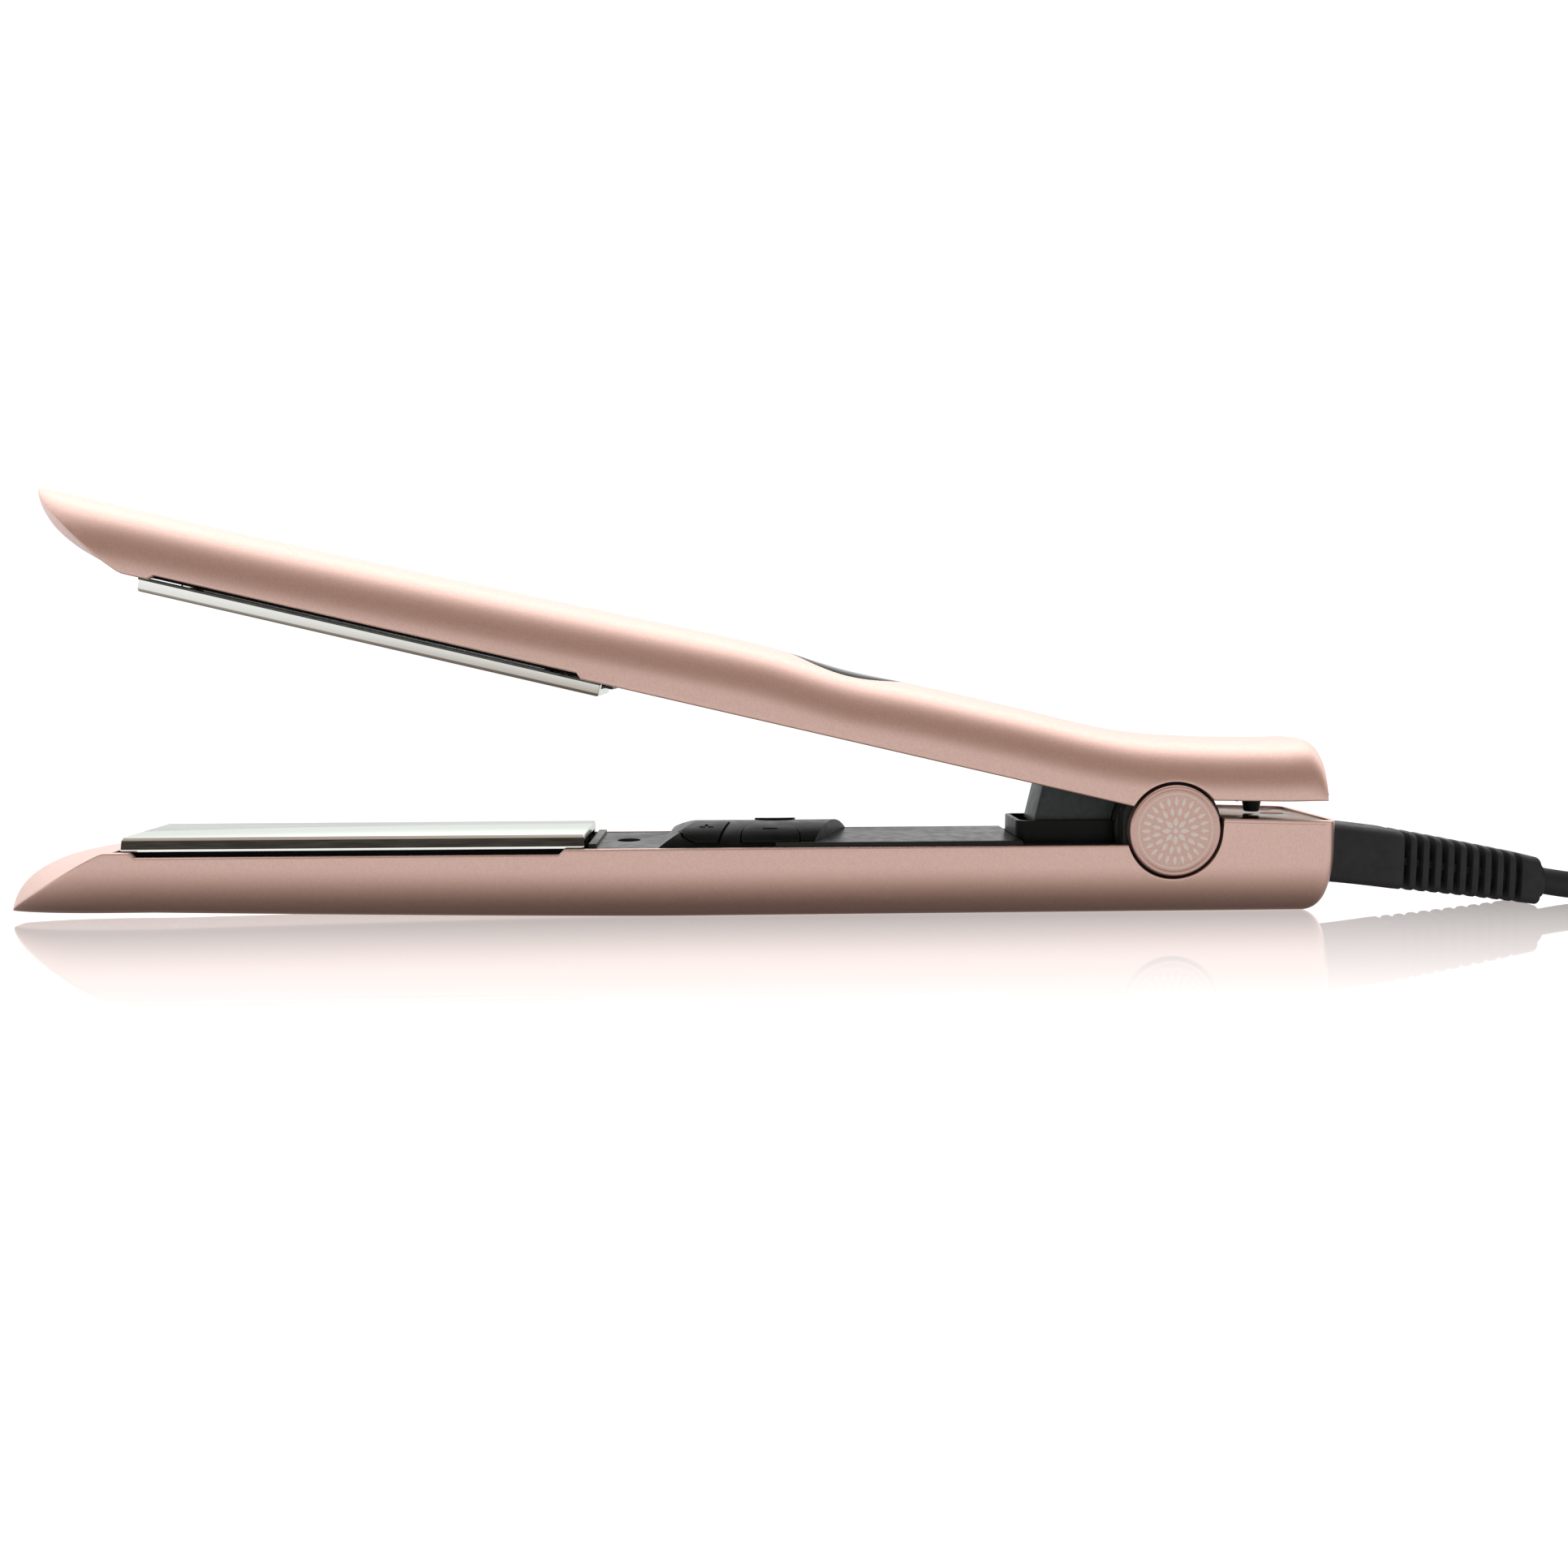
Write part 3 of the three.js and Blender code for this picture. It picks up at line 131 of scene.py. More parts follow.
def colour_ramp(tree, factor, stops):
    """Maps a factor through (position, colour) stops."""
    ramp = tree.nodes.new("ShaderNodeValToRGB")
    elements = ramp.color_ramp.elements
    while len(elements) < len(stops):
        elements.new(0.5)
    for element, (position, colour) in zip(elements, stops):
        element.position, element.color = position, (*colour, 1)
    tree.links.new(factor, ramp.inputs["Fac"])
    return ramp.outputs["Color"]


class Look:
    """A Principled material whose colour, roughness and surface come from procedural textures."""

    def __init__(self, name, **sockets):
        self.material = bpy.data.materials.new(name)
        self.material.use_nodes = True
        self.tree = self.material.node_tree
        self.shader = self.tree.nodes["Principled BSDF"]
        for socket, value in sockets.items():
            self.shader.inputs[socket.replace("_", " ")].default_value = value
        self.place = self.tree.nodes.new("ShaderNodeTexCoord").outputs["Object"]
        self.height = None

    def texture(self, kind, output, stretch, **inputs):
        """A texture's output, over the place with each axis stretched."""
        mapping = node_in(self.tree, "ShaderNodeMapping", Scale=stretch)
        texture = node_in(self.tree, kind, **inputs)
        self.tree.links.new(self.place, mapping.inputs["Vector"])
        self.tree.links.new(mapping.outputs["Vector"], texture.inputs["Vector"])
        return texture.outputs[output]

    def noise(self, scale, detail=3, stretch=(1, 1, 1)):
        """Noise with `scale` features to the metre."""
        return self.texture("ShaderNodeTexNoise", "Fac", stretch, Scale=scale, Detail=detail)

    def cells(self, scale, stretch=(1, 1, 1)):
        return self.texture("ShaderNodeTexVoronoi", "Distance", stretch, Scale=scale)

    def vary(self, socket, factor, stops):
        self.tree.links.new(colour_ramp(self.tree, factor, stops), self.shader.inputs[socket])

    def bump(self, depth_mm, strength, factor):
        """Adds a relief `depth_mm` deep."""
        bump = node_in(self.tree, "ShaderNodeBump", Distance=depth_mm * MM, Strength=strength)
        self.tree.links.new(factor, bump.inputs["Height"])
        if self.height:
            self.tree.links.new(self.height, bump.inputs["Normal"])
        self.height = bump.outputs["Normal"]
        self.tree.links.new(self.height, self.shader.inputs["Normal"])


def srgb(red, green, blue):
    """A display colour, 0 to 255, as linear light."""
    def linear(value):
        share = value / 255
        return share / 12.92 if share <= 0.04045 else ((share + 0.055) / 1.055) ** 2.4
    return tuple(linear(value) for value in (red, green, blue))


def surface(name, tone, spread, fleck, rough=None, relief=None, **sockets):
    """A look in one tone, a share `spread` darker and lighter with the noise `fleck`; `rough` is a noise
    with the lowest and highest roughness, and `relief` a depth in mm, a strength and a noise."""
    look = Look(name, **sockets)
    middle = srgb(*tone)
    look.vary("Base Color", look.noise(*fleck),
              [(0.3, [c * (1 - spread) for c in middle]), (0.7, [c * (1 + spread) for c in middle])])
    if rough:
        low, high, noise = rough
        look.vary("Roughness", look.noise(*noise), [(0.3, [low] * 3), (0.7, [high] * 3)])
    if relief:
        depth_mm, strength, noise = relief
        look.bump(depth_mm, strength, look.noise(*noise))
    return look


def woven_band():
    """Hook-and-loop tape: a fine woven ground with a fuzzy nap."""
    look = surface("woven_band", (34, 35, 37), 0.35, (2500, 4), Roughness=0.85, Sheen_Weight=0.3,
                   Sheen_Roughness=0.5)
    look.bump(0.15, 0.8, look.cells(2600, (1, 1.6, 1.6)))
    look.bump(0.08, 0.5, look.noise(5000))
    return look


def board_green():
    """Solder mask with a faint pattern of tracks."""
    look = Look("board_green", Roughness=0.35, Coat_Weight=0.3)
    look.vary("Base Color", look.cells(420), [(0.25, srgb(28, 84, 52)), (0.45, srgb(36, 104, 64))])
    look.bump(0.02, 0.4, look.cells(420))
    return look


# Lacquer with fine metal flake; moulded plastic, and the same with a spark-eroded grain; a lead's sleeve.
LACQUER = dict(spread=0.055, fleck=(2600, 2), rough=(0.31, 0.37, (900,)), relief=(0.004, 0.5, (3400, 2)),
               Metallic=0.92)
MOULDED = dict(spread=0.16, fleck=(700, 4), Specular_IOR_Level=0.1)
SATIN = dict(rough=(0.27, 0.39, (350,)), relief=(0.016, 0.6, (2800,)), **MOULDED)
SLEEVE = dict(spread=0.08, fleck=(600,), relief=(0.01, 0.4, (1500, 2)), Roughness=0.5)

LOOKS = {
    "rose_casing": surface("rose_lacquer", (212, 180, 170), **LACQUER),
    "cap_lacquer": surface("cap_lacquer", (200, 168, 158), **LACQUER),
    "etched": surface("etched", (216, 207, 200), 0.06, (2800,), relief=(0.01, 0.5, (3600,)), Roughness=0.5,
                      Metallic=0.75),
    # The rear cover's glossy rose lacquer, painted darker and browner: painted shade of the cover lying in
    # shadow.
    "rose_gloss_painted_shade": surface("rose_gloss_painted_shade", (186, 142, 104), 0.08, (90,), rough=(0.1, 0.18, (500,)),
                            Metallic=1, Specular_Tint=(0.45, 0.42, 0.4, 1)),
    "black_plastic": surface("black_plastic", (42, 45, 43), **SATIN),
    "shroud_grey": surface("shroud_grey", (62, 68, 69), **SATIN),
    "pod_black": surface("pod_black", (17, 20, 18), rough=(0.29, 0.41, (350,)), relief=(0.014, 0.6, (2800,)),
                         **MOULDED),
    "gap_black": surface("gap_black", (14, 15, 15), rough=(0.65, 0.77, (350,)), relief=(0.02, 0.6, (2800,)),
                         **MOULDED),
    "gloss_black": surface("gloss_black", (16, 17, 19), 0.1, (60, 2), rough=(0.05, 0.09, (45, 4)),
                           Specular_IOR_Level=0.15),
    "soft_rubber": surface("soft_rubber", (34, 35, 38), 0.14, (420, 5), rough=(0.5, 0.66, (260,)),
                           relief=(0.015, 0.6, (3000,)), Specular_IOR_Level=0.28),
    # The plates are polished along their length, and their dark sides are not.
    "plate_metal": surface("polished_plate", (236, 238, 234), 0.02, (30, 3, (1, 14, 1)),
                           rough=(0.06, 0.12, (120, 4, (0.15, 12, 1))),
                           relief=(0.002, 0.2, (150, 2, (0.1, 16, 1))), Metallic=1,
                           Specular_Tint=(0.7, 0.73, 0.7, 1)),
    "plate_side": surface("plate_side", (78, 80, 76), 0.35, (900, 4, (0.15, 1, 3)),
                          relief=(0.01, 0.4, (2400, 3, (0.2, 1, 1))), Roughness=0.3, Metallic=0.8),
    "steel": surface("steel", (176, 178, 180), 0.06, (300,), rough=(0.22, 0.34, (800, 3, (1, 1, 6))),
                     Metallic=1),
    "brass": surface("brass", (204, 168, 96), 0.07, (260,), rough=(0.2, 0.32, (600,)), Metallic=1),
    "silicone": surface("silicone", (140, 59, 50), 0.08, (500,), relief=(0.01, 0.5, (2000, 2)),
                        Roughness=0.55),
    "ceramic": surface("ceramic", (228, 222, 208), 0.05, (900, 4), relief=(0.01, 0.5, (2500,)),
                       Roughness=0.6),
    "lead_red": surface("lead_red", (150, 46, 40), **SLEEVE),
    "lead_blue": surface("lead_blue", (44, 74, 140), **SLEEVE),
    "board": board_green(), "woven_band": woven_band(),
}
SLOT_OF = {part["node"]: part["material_slot"] for part in frame["record"]["subparts"]}
BODY_OF = {node: body for body, nodes in frame["record"]["behaviour"]["bodies"].items() for node in nodes}


# ---- outlines
def arc(cx, cy, rx, ry, start, end, steps):
    """Points on an ellipse between two angles in degrees."""
    angles = [math.radians(start + (end - start) * i / steps) for i in range(steps + 1)]
    return [(cx + rx * math.cos(a), cy + ry * math.sin(a)) for a in angles]


def rounded_rectangle(cx, cy, half_length, half_width, r, steps=6):
    a, b = half_length - r, half_width - r
    return [
        *arc(cx + a, cy + b, r, r, 0, 90, steps), *arc(cx - a, cy + b, r, r, 90, 180, steps),
        *arc(cx - a, cy - b, r, r, 180, 270, steps), *arc(cx + a, cy - b, r, r, 270, 360, steps),
    ]


def circle(r, sides, cx=0, cy=0):
    return arc(cx, cy, r, r, 0, 360 - 360 / sides, sides - 1)


def smooth_step(t):
    t = min(max(t, 0), 1)
    return t * t * (3 - 2 * t)


# ---- meshes
class Form:
    """Points and faces of one closed surface, in millimetres."""

    def __init__(self, points=(), faces=()):
        self.points = [Vector(p) for p in points]
        self.faces = [tuple(f) for f in faces]

    def add(self, other):
        start = len(self.points)
        self.points += other.points
        self.faces += [tuple(start + i for i in face) for face in other.faces]
        return self

    def moved(self, matrix):
        return Form([matrix @ p for p in self.points], self.faces)


def lofted(rings):
    """A skin through closed rings of points; the end rings are closed by flat faces."""
    count = len(rings[0])
    faces = []
    for row in range(len(rings) - 1):
        start = row * count
        for i in range(count):
            a, b = start + i, start + (i + 1) % count
            faces.append((a, b, b + count, a + count))
    last = (len(rings) - 1) * count
    faces += [tuple(range(count))[::-1], tuple(range(last, last + count))]
    return Form([point for ring in rings for point in ring], faces)


def prism(outline, low, high, axis="z"):
    """An outline [a, b] between two heights along an axis: xy along z, xz along y, yz along x."""
    place = {
        "z": lambda a, b, h: (a, b, h), "y": lambda a, b, h: (a, h, b), "x": lambda a, b, h: (h, a, b),
    }[axis]
    return lofted([[place(a, b, h) for a, b in outline] for h in (low, high)])


def box(xs, ys, zs):
    return prism([(xs[0], ys[0]), (xs[1], ys[0]), (xs[1], ys[1]), (xs[0], ys[1])], *zs)


def turned(profile, sides=96, axis="y", centre=(0, 0, 0)):
    """A turned solid from a closed profile of (radius, height); radius 0 lies on the axis."""
    spin = {"y": lambda r, h, c, s: (r * c, h, r * s), "z": lambda r, h, c, s: (r * c, r * s, h)}[axis]
    rings = []
    for i in range(sides):
        angle = 2 * math.pi * i / sides
        rings.append([Vector(spin(r, h, math.cos(angle), math.sin(angle))) + Vector(centre)
                      for r, h in profile])
    count = len(profile)
    closed = profile[0][0] > 0
    spans = count if closed else count - 1
    faces = []
    for i in range(sides):
        here, there = i * count, (i + 1) % sides * count
        for j in range(spans):
            k = (j + 1) % count
            faces.append((here + j, here + k, there + k, there + j))
    return Form([p for ring in rings for p in ring], faces)


def mesh_of(form, place=ROW):
    """A Blender mesh of a form placed in the row frame, in metres, with its faces pointing out."""
    mesh = bpy.data.meshes.new("form")
    mesh.from_pydata([(place @ p) * MM for p in form.points], [], form.faces)
    work = bmesh.new()
    work.from_mesh(mesh)
    bmesh.ops.remove_doubles(work, verts=work.verts, dist=1e-7)
    bmesh.ops.dissolve_degenerate(work, edges=work.edges, dist=1e-7)
    bmesh.ops.recalc_face_normals(work, faces=work.faces)
    work.to_mesh(mesh)
    work.free()
    return mesh


def shade(mesh, angle):
    """Smooth shading, sharp over an angle in degrees."""
    mesh.polygons.foreach_set("use_smooth", [True] * len(mesh.polygons))
    mesh.set_sharp_from_angle(angle=math.radians(angle))


def new_object(name, mesh):
    made = bpy.data.objects.new(name, mesh)
    bpy.context.scene.collection.objects.link(made)
    return made


def apply_cuts(made, cut, place, keep=()):
    """Intersects a mesh object with some forms or objects, then cuts others out of it."""
    tools = []
    for operation, others in (("INTERSECT", keep), ("DIFFERENCE", cut)):
        for other in others:
            tool = new_object("tool", mesh_of(other, place)) if isinstance(other, Form) else other
            step = made.modifiers.new(operation, "BOOLEAN")
            step.operation, step.object, step.solver = operation, tool, "EXACT"
            tools.append(tool)
    if tools:
        bpy.context.view_layer.update()
        final = bpy.data.meshes.new_from_object(made.evaluated_get(bpy.context.evaluated_depsgraph_get()))
        made.modifiers.clear()
        made.data = final
        for tool in tools:
            bpy.data.objects.remove(tool)


def carved(name, form, place, cut=(), keep=()):
    """A mesh object of a form after exact intersections and cuts."""
    made = new_object(name, mesh_of(form, place))
    apply_cuts(made, cut, place, keep)
    return made


def tidy_edges(mesh, width, segments):
    """Rounds a mesh's sharp edges after joining its flat faces."""
    work = bmesh.new()
    work.from_mesh(mesh)
    bmesh.ops.remove_doubles(work, verts=work.verts, dist=2e-6)
    bmesh.ops.dissolve_limit(work, angle_limit=math.radians(1), verts=work.verts, edges=work.edges)
    sharp = [e for e in work.edges if len(e.link_faces) == 2 and e.calc_face_angle(0) > math.radians(30)]
    bmesh.ops.bevel(work, geom=sharp, offset=width * MM, segments=segments, profile=0.6,
                    affect="EDGES", clamp_overlap=True, miter_outer="ARC")
    bmesh.ops.remove_doubles(work, verts=work.verts, dist=1e-7)
    work.to_mesh(mesh)
    work.free()


def finished(made, node, look=None, edge=0, angle=32, segments=2):
    """Dresses a piece that stands for a CAD node: its edges, shading, material, slot and body."""
    if edge:
        tidy_edges(made.data, edge, segments)
    shade(made.data, angle)
    slot = SLOT_OF[node]
    made.data.materials.clear()
    made.data.materials.append(LOOKS[look or slot].material)
    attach(made, BODY_OF[node])
    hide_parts(node)
    return made


def trim(name, form, look):
    """A small detail of the lower arm that stands for no CAD node of its own."""
    made = new_object(name, mesh_of(form, LOWER))
    shade(made.data, 32)
    made.data.materials.append(LOOKS[look].material)
    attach(made, "lower_arm")


def refined(node, look=None, edge=0.18, angle=32, segments=2, cut=(), place=ROW):
    """A copy of a CAD solid with rounded edges and smooth shading, less any cuts."""
    made = new_object(f"{node}_piece", frame["nodes"][node].data.copy())
    apply_cuts(made, cut, place)
    return finished(made, node, look, edge=edge, angle=angle, segments=segments)


# ---- the cord, its hank, tie and plug
LEFT = HANK_START_X + LOOP_R[1] + CORD_R  # centres of the hank's two end loops
RIGHT = LEFT + HANK_RUN
MIDDLE = (LEFT + RIGHT) / 2
LIFT = 0.05  # the cord's underside above the table
LAYER = 2 * CORD_R
TURNS = [(0, 0), (1, 0), (1, 1), (0, 1), (0, 2), (1, 2)]  # each turn's column and layer
LEG_STEPS = 10

# The way in: out of the strain relief, down to the table and along the hank's middle.
LEAD_IN = [
    (92.6, 0, 5.55), (94.6, 0, 5.2), (98, 0, 4.6), (102, 0, 4.0), (107, 0, 3.5), (113, 0, 3.28),
    (120, -0.1, 3.25), (132, -0.5, 3.25), (144, -1.0, 3.25), (157, -1.7, 3.25), (170, -2.5, 3.25),
    (184, -3.1, 3.25),
]
# The way out: off the top layer, across the hank's top and into the plug.
LEAD_OUT = [
    (254, 26.0, 19.9), (248, 25.2, 21.6), (242, 23.2, 22.5), (235, 19.2, 22.7), (228, 14.2, 23.1),
    (220, 8.4, 24.3), (211, 3.2, 26.8), (203, 0.7, 29.0), (196.4, 0, 29.75),
]


def column_offset(t, column):
    """Distance from the hank's middle line to a strand, t along a run."""
    inner = WAIST[0] + (LOOP_R[0] - WAIST[0]) * (1 + math.cos(2 * math.pi * t)) / 2
    slope = (LOOP_R[0] - WAIST[0]) * math.pi / HANK_RUN * math.sin(2 * math.pi * t)
    return inner + column * (WAIST[1] - WAIST[0]) * math.sqrt(1 + slope ** 2)


def hank_point(phase, column, layer):
    """A place on a turn: 0 to 1 the near run, then the right loop, the far run and the left loop."""
    leg, t = int(phase) % 4, phase - int(phase)
    r = LOOP_R[0] + column * (WAIST[1] - WAIST[0])
    if leg == 0:
        x, y = LEFT + HANK_RUN * t, -column_offset(t, column)
    elif leg == 1:
        x, y = RIGHT + r * math.sin(math.pi * t), -r * math.cos(math.pi * t)
    elif leg == 2:
        x, y = RIGHT - HANK_RUN * t, column_offset(t, column)
    else:
        x, y = LEFT - r * math.sin(math.pi * t), r * math.cos(math.pi * t)
    # The left loops lie over the cord that comes in.
    hump = LAYER * (1 - smooth_step((x - (LEFT - 1)) / 36))
    return x, y, LIFT + CORD_R + layer * LAYER + hump


def changing(turn, phase):
    """The column and layer of a turn, as it passes to its neighbours over the left loop."""
    last = len(TURNS) - 1
    span = 2 / 3

    def start_of(change):
        return 2.5 + (last - 1 - change) * span / 2

    def between(change, at):
        share = smooth_step((at - start_of(change)) / span)
        (c0, l0), (c1, l1) = TURNS[change], TURNS[change + 1]
        return c0 + (c1 - c0) * share, l0 + (l1 - l0) * share

    if turn < last and phase >= 2.5:
        return between(turn, phase)
    if turn > 0 and phase < 0.5:
        return between(turn - 1, phase + 4)
    return TURNS[turn]


def cord_route():
    """The cord's points, from the strain relief through the hank's turns to the plug."""
    route = list(LEAD_IN)
    for turn in range(len(TURNS)):
        for step in range(4 * LEG_STEPS):
            phase = step / LEG_STEPS
            x, y, z = hank_point(phase, *changing(turn, phase))
            if turn == 0 and phase < 1 and x < 192:
                continue
            if turn == len(TURNS) - 1 and phase > 1.5:
                z += (19.0 - z) * smooth_step((phase - 1.5) / 0.6)
                if phase > 2:
                    break
            route.append((x, y, z))
    return route + LEAD_OUT


def swept(points, section, name):
    """A curve object with a round section of that radius, through points in millimetres."""
    data = bpy.data.curves.new(name, "CURVE")
    data.dimensions = "3D"
    data.bevel_depth = section * MM
    data.bevel_resolution = 5
    data.resolution_u = 4
    data.use_fill_caps = True
    spline = data.splines.new("NURBS")
    spline.points.add(len(points) - 1)
    for slot, (x, y, z) in zip(spline.points, points):
        slot.co = (x * MM, y * MM, z * MM, 1)
    spline.use_endpoint_u = True
    spline.order_u = 3
    made = bpy.data.objects.new(name, data)
    bpy.context.scene.collection.objects.link(made)
    return made


def make_tie():
    """A hook-and-loop band wound round the hank's waist, following its strands, with a loose tab."""
    half_y, top = WAIST[1] + CORD_R + 0.25, LIFT + HANK_HEIGHT + 0.3
    thickness, half_x = 1.3, 6
    inner = rounded_rectangle(0, top / 2 + 0.05, half_y, top / 2, CORD_R, 8)
    outer = rounded_rectangle(0, (top + thickness) / 2, half_y + thickness, (top + thickness) / 2,
                              CORD_R + 1, 8)
    ends = [MIDDLE - half_x, MIDDLE + half_x]
    rings = [[(x, y, z) for y, z in ring] for ring, x in
             ((inner, ends[0]), (outer, ends[0]), (outer, ends[1]), (inner, ends[1]))]
    count = len(inner)
    faces = []
    for row in range(4):
        start, there = row * count, (row + 1) % 4 * count
        faces += [(start + i, start + (i + 1) % count, there + (i + 1) % count, there + i)
                  for i in range(count)]
    band = Form([p for ring in rings for p in ring], faces)
    band.add(box((MIDDLE - half_x + 0.4, MIDDLE + half_x - 0.4),
                 (-half_y - thickness - 0.55, -half_y - thickness), (5, 15.5)))
    made = new_object("hank_tie", mesh_of(band))
    return finished(made, "cord_tie", "woven_band", edge=0.25, angle=40)


PLUG_FRONT_X, PLUG_BACK_X = 164, 197
PLUG_AXIS_Z = 29.75
BLADE_Y = 6.35


def plug_ring(x, half_y, half_z, corner):
    ring = rounded_rectangle(0, PLUG_AXIS_Z, half_y, half_z, corner, 6)
    return [(x, y, z) for y, z in ring]


def make_plug():
    """A moulded two-blade plug with finger grips and a ringed cord grip at its back."""
    rings = []
    front = [(0, 11.4, 7.3, 3), (0.35, 12.1, 8.1, 3.3), (1.1, 12.5, 8.5, 3.5), (13, 12.4, 8.4, 3.5)]
    rings += [plug_ring(PLUG_FRONT_X + x, y, z, corner) for x, y, z, corner in front]
    for i in range(25):
        share = i / 24
        waist = smooth_step(share)
        groove = 0.35 if 4 <= i <= 20 and i % 4 in (1, 2) else 0
        rings.append(plug_ring(PLUG_FRONT_X + 13.5 + 13 * share, 12.4 - 6.6 * waist - groove,
                               8.4 - 3 * waist - groove, 3.5 + 0.9 * waist))
    for i in range(4):
        x = PLUG_FRONT_X + 27.3 + i * 1.5
        size = 5.4 - 0.25 * i
        rings += [plug_ring(x, size, size - 0.4, 3.6), plug_ring(x + 0.15, size - 0.7, size - 1.1, 3.4),
                  plug_ring(x + 0.55, size - 0.7, size - 1.1, 3.4), plug_ring(x + 0.7, size, size - 0.4, 3.6)]
    rings.append(plug_ring(PLUG_BACK_X, 4.2, 3.9, 3.6))
    sockets = [box((PLUG_FRONT_X - 1, PLUG_FRONT_X + 8), (y - 0.95, y + 0.95),
                   (PLUG_AXIS_Z - 3.4, PLUG_AXIS_Z + 3.4)) for y in (-BLADE_Y, BLADE_Y)]
    made = carved("plug_moulding", lofted(rings), ROW, cut=sockets)
    return finished(made, "plug_body", "soft_rubber", angle=40)


def make_blade(node, y):
    outline = [(PLUG_FRONT_X + 7.9, PLUG_AXIS_Z - 3.1),
               *arc(PLUG_FRONT_X - 14, PLUG_AXIS_Z, 2, 3.1, 270, 90, 10),
               (PLUG_FRONT_X + 7.9, PLUG_AXIS_Z + 3.1)]
    hole = prism(circle(1.5, 24, PLUG_FRONT_X - 11.5, PLUG_AXIS_Z), -20, 20, "y")
    made = carved(f"{node}_piece", prism(outline, y - 0.75, y + 0.75, "y"), ROW, cut=[hole])
    return finished(made, node, edge=0.2)


def make_cord():
    cord = swept(cord_route(), CORD_R, "mains_cord")
    cord.data.materials.append(LOOKS["soft_rubber"].material)
    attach(cord, "lower_arm")
    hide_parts("cord_lead", "cord_hank", "cord_end")
    pieces = [make_tie(), make_plug(), make_blade("plug_blade_near", -BLADE_Y),
              make_blade("plug_blade_far", BLADE_Y)]
    return cord, pieces


# ---- the arms' outer form
def lower_crown(x):
    """Height of the lower arm's underside at a station."""
    rise = 1.9 * min(max((-115 - x) / 115, 0), 1) ** 1.3
    corner = 5
    past = min(max(x - (REAR_X - corner), 0), corner)
    return -HINGE_Z + rise + corner - math.sqrt(corner ** 2 - past ** 2)


def catmull_rom(points, steps):
    """A uniform Catmull-Rom curve through points in a plane."""
    padded = [points[0], *points, points[-1]]
    found = []
    for a, b, c, d in zip(padded, padded[1:], padded[2:], padded[3:]):
        for i in range(steps):
            t = i / steps
            found.append(tuple(
                0.5 * (2 * b[k] + (c[k] - a[k]) * t + (2 * a[k] - 5 * b[k] + 4 * c[k] - d[k]) * t * t
                       + (3 * b[k] - 3 * c[k] + d[k] - a[k]) * t ** 3) for k in (0, 1)))
    return found + [points[-1]]


# The upper arm's outside swells towards the thumb dish, dips there, and climbs over the tail.
UPPER_OUTLINE = catmull_rom([
    (-264, 17.4), (-218, 17.5), (-163, 18.4), (-120, 19.4), (-99, 19.6), (-80, 18.4), (-62, 18.8),
    (-40, 18.9), (-21, 18.8), (-9, 19.6), (6, 22.1), (18, 24.7), (26, 26.4), (30.5, 26.9),
    (33, 26.3), (TAIL_X, 25),
], 24)


def upper_crown(x):
    """Height of the upper arm's outside at a station."""
    for (x0, z0), (x1, z1) in zip(UPPER_OUTLINE, UPPER_OUTLINE[1:]):
        if x <= x1:
            return z0 + (z1 - z0) * max(x - x0, 0) / max(x1 - x0, 1e-9)
    return UPPER_OUTLINE[-1][1]


def half_width(x):
    """An arm narrows to a blunt round end past its nose, seen from above."""
    past = max(NOSE_PLAN_X - x, 0)
    return ARM_HALF_WIDTH * math.sqrt(1 - (past / 26) ** 2)


def nose_face(x, out, deepest, fall):
    """Depth of a nose's face from the hinge plane, at a share of the half width from the middle."""
    share = min(max((NOSE_X - x) / (NOSE_X - TIP_X), 0), 1)
    middle = NOSE_TIP_Z - (NOSE_TIP_Z - EDGE_Z) * math.sqrt(1 - share ** 2)
    return min(middle, deepest) + fall * max(NOSE_ROUND_X - x, 0) * out ** 2


def mating_edge(x):
    """Depth of a casing's edge from the hinge plane, with the notch beside the plate."""
    into = min(x - NOTCH[0], NOTCH[1] - x) / NOTCH_SLANT
    return EDGE_Z + (NOTCH_Z - EDGE_Z) * min(max(into, 0), 1)


def lower_edge(x):
    """Height of the lower casing's edge; round under the cap, and raised at the rear block."""
    if abs(x) < CHEEK_CUT_R:
        under = -math.sqrt(CHEEK_CUT_R ** 2 - x ** 2)
        return min(under, -EDGE_Z) if x < 0 else under
    if x >= CHEEK_CUT_R:
        return REAR_TOP_Z[0] + (REAR_TOP_Z[1] - REAR_TOP_Z[0]) * (x - CHEEK_CUT_R) / (REAR_X - CHEEK_CUT_R)
    return -mating_edge(x)


def upper_edge(x):
    """Height of the upper casing's edge; round over the cap, and sloping up under the tail."""
    if abs(x) < CHEEK_CUT_R:
        over = math.sqrt(CHEEK_CUT_R ** 2 - x ** 2)
        return max(over, EDGE_Z) if x < 0 else max(over, 9.1 + (x - 9.6) * 0.214)
    if x >= CHEEK_CUT_R:
        return 9.1 + (x - 9.6) * 0.214
    return mating_edge(x)


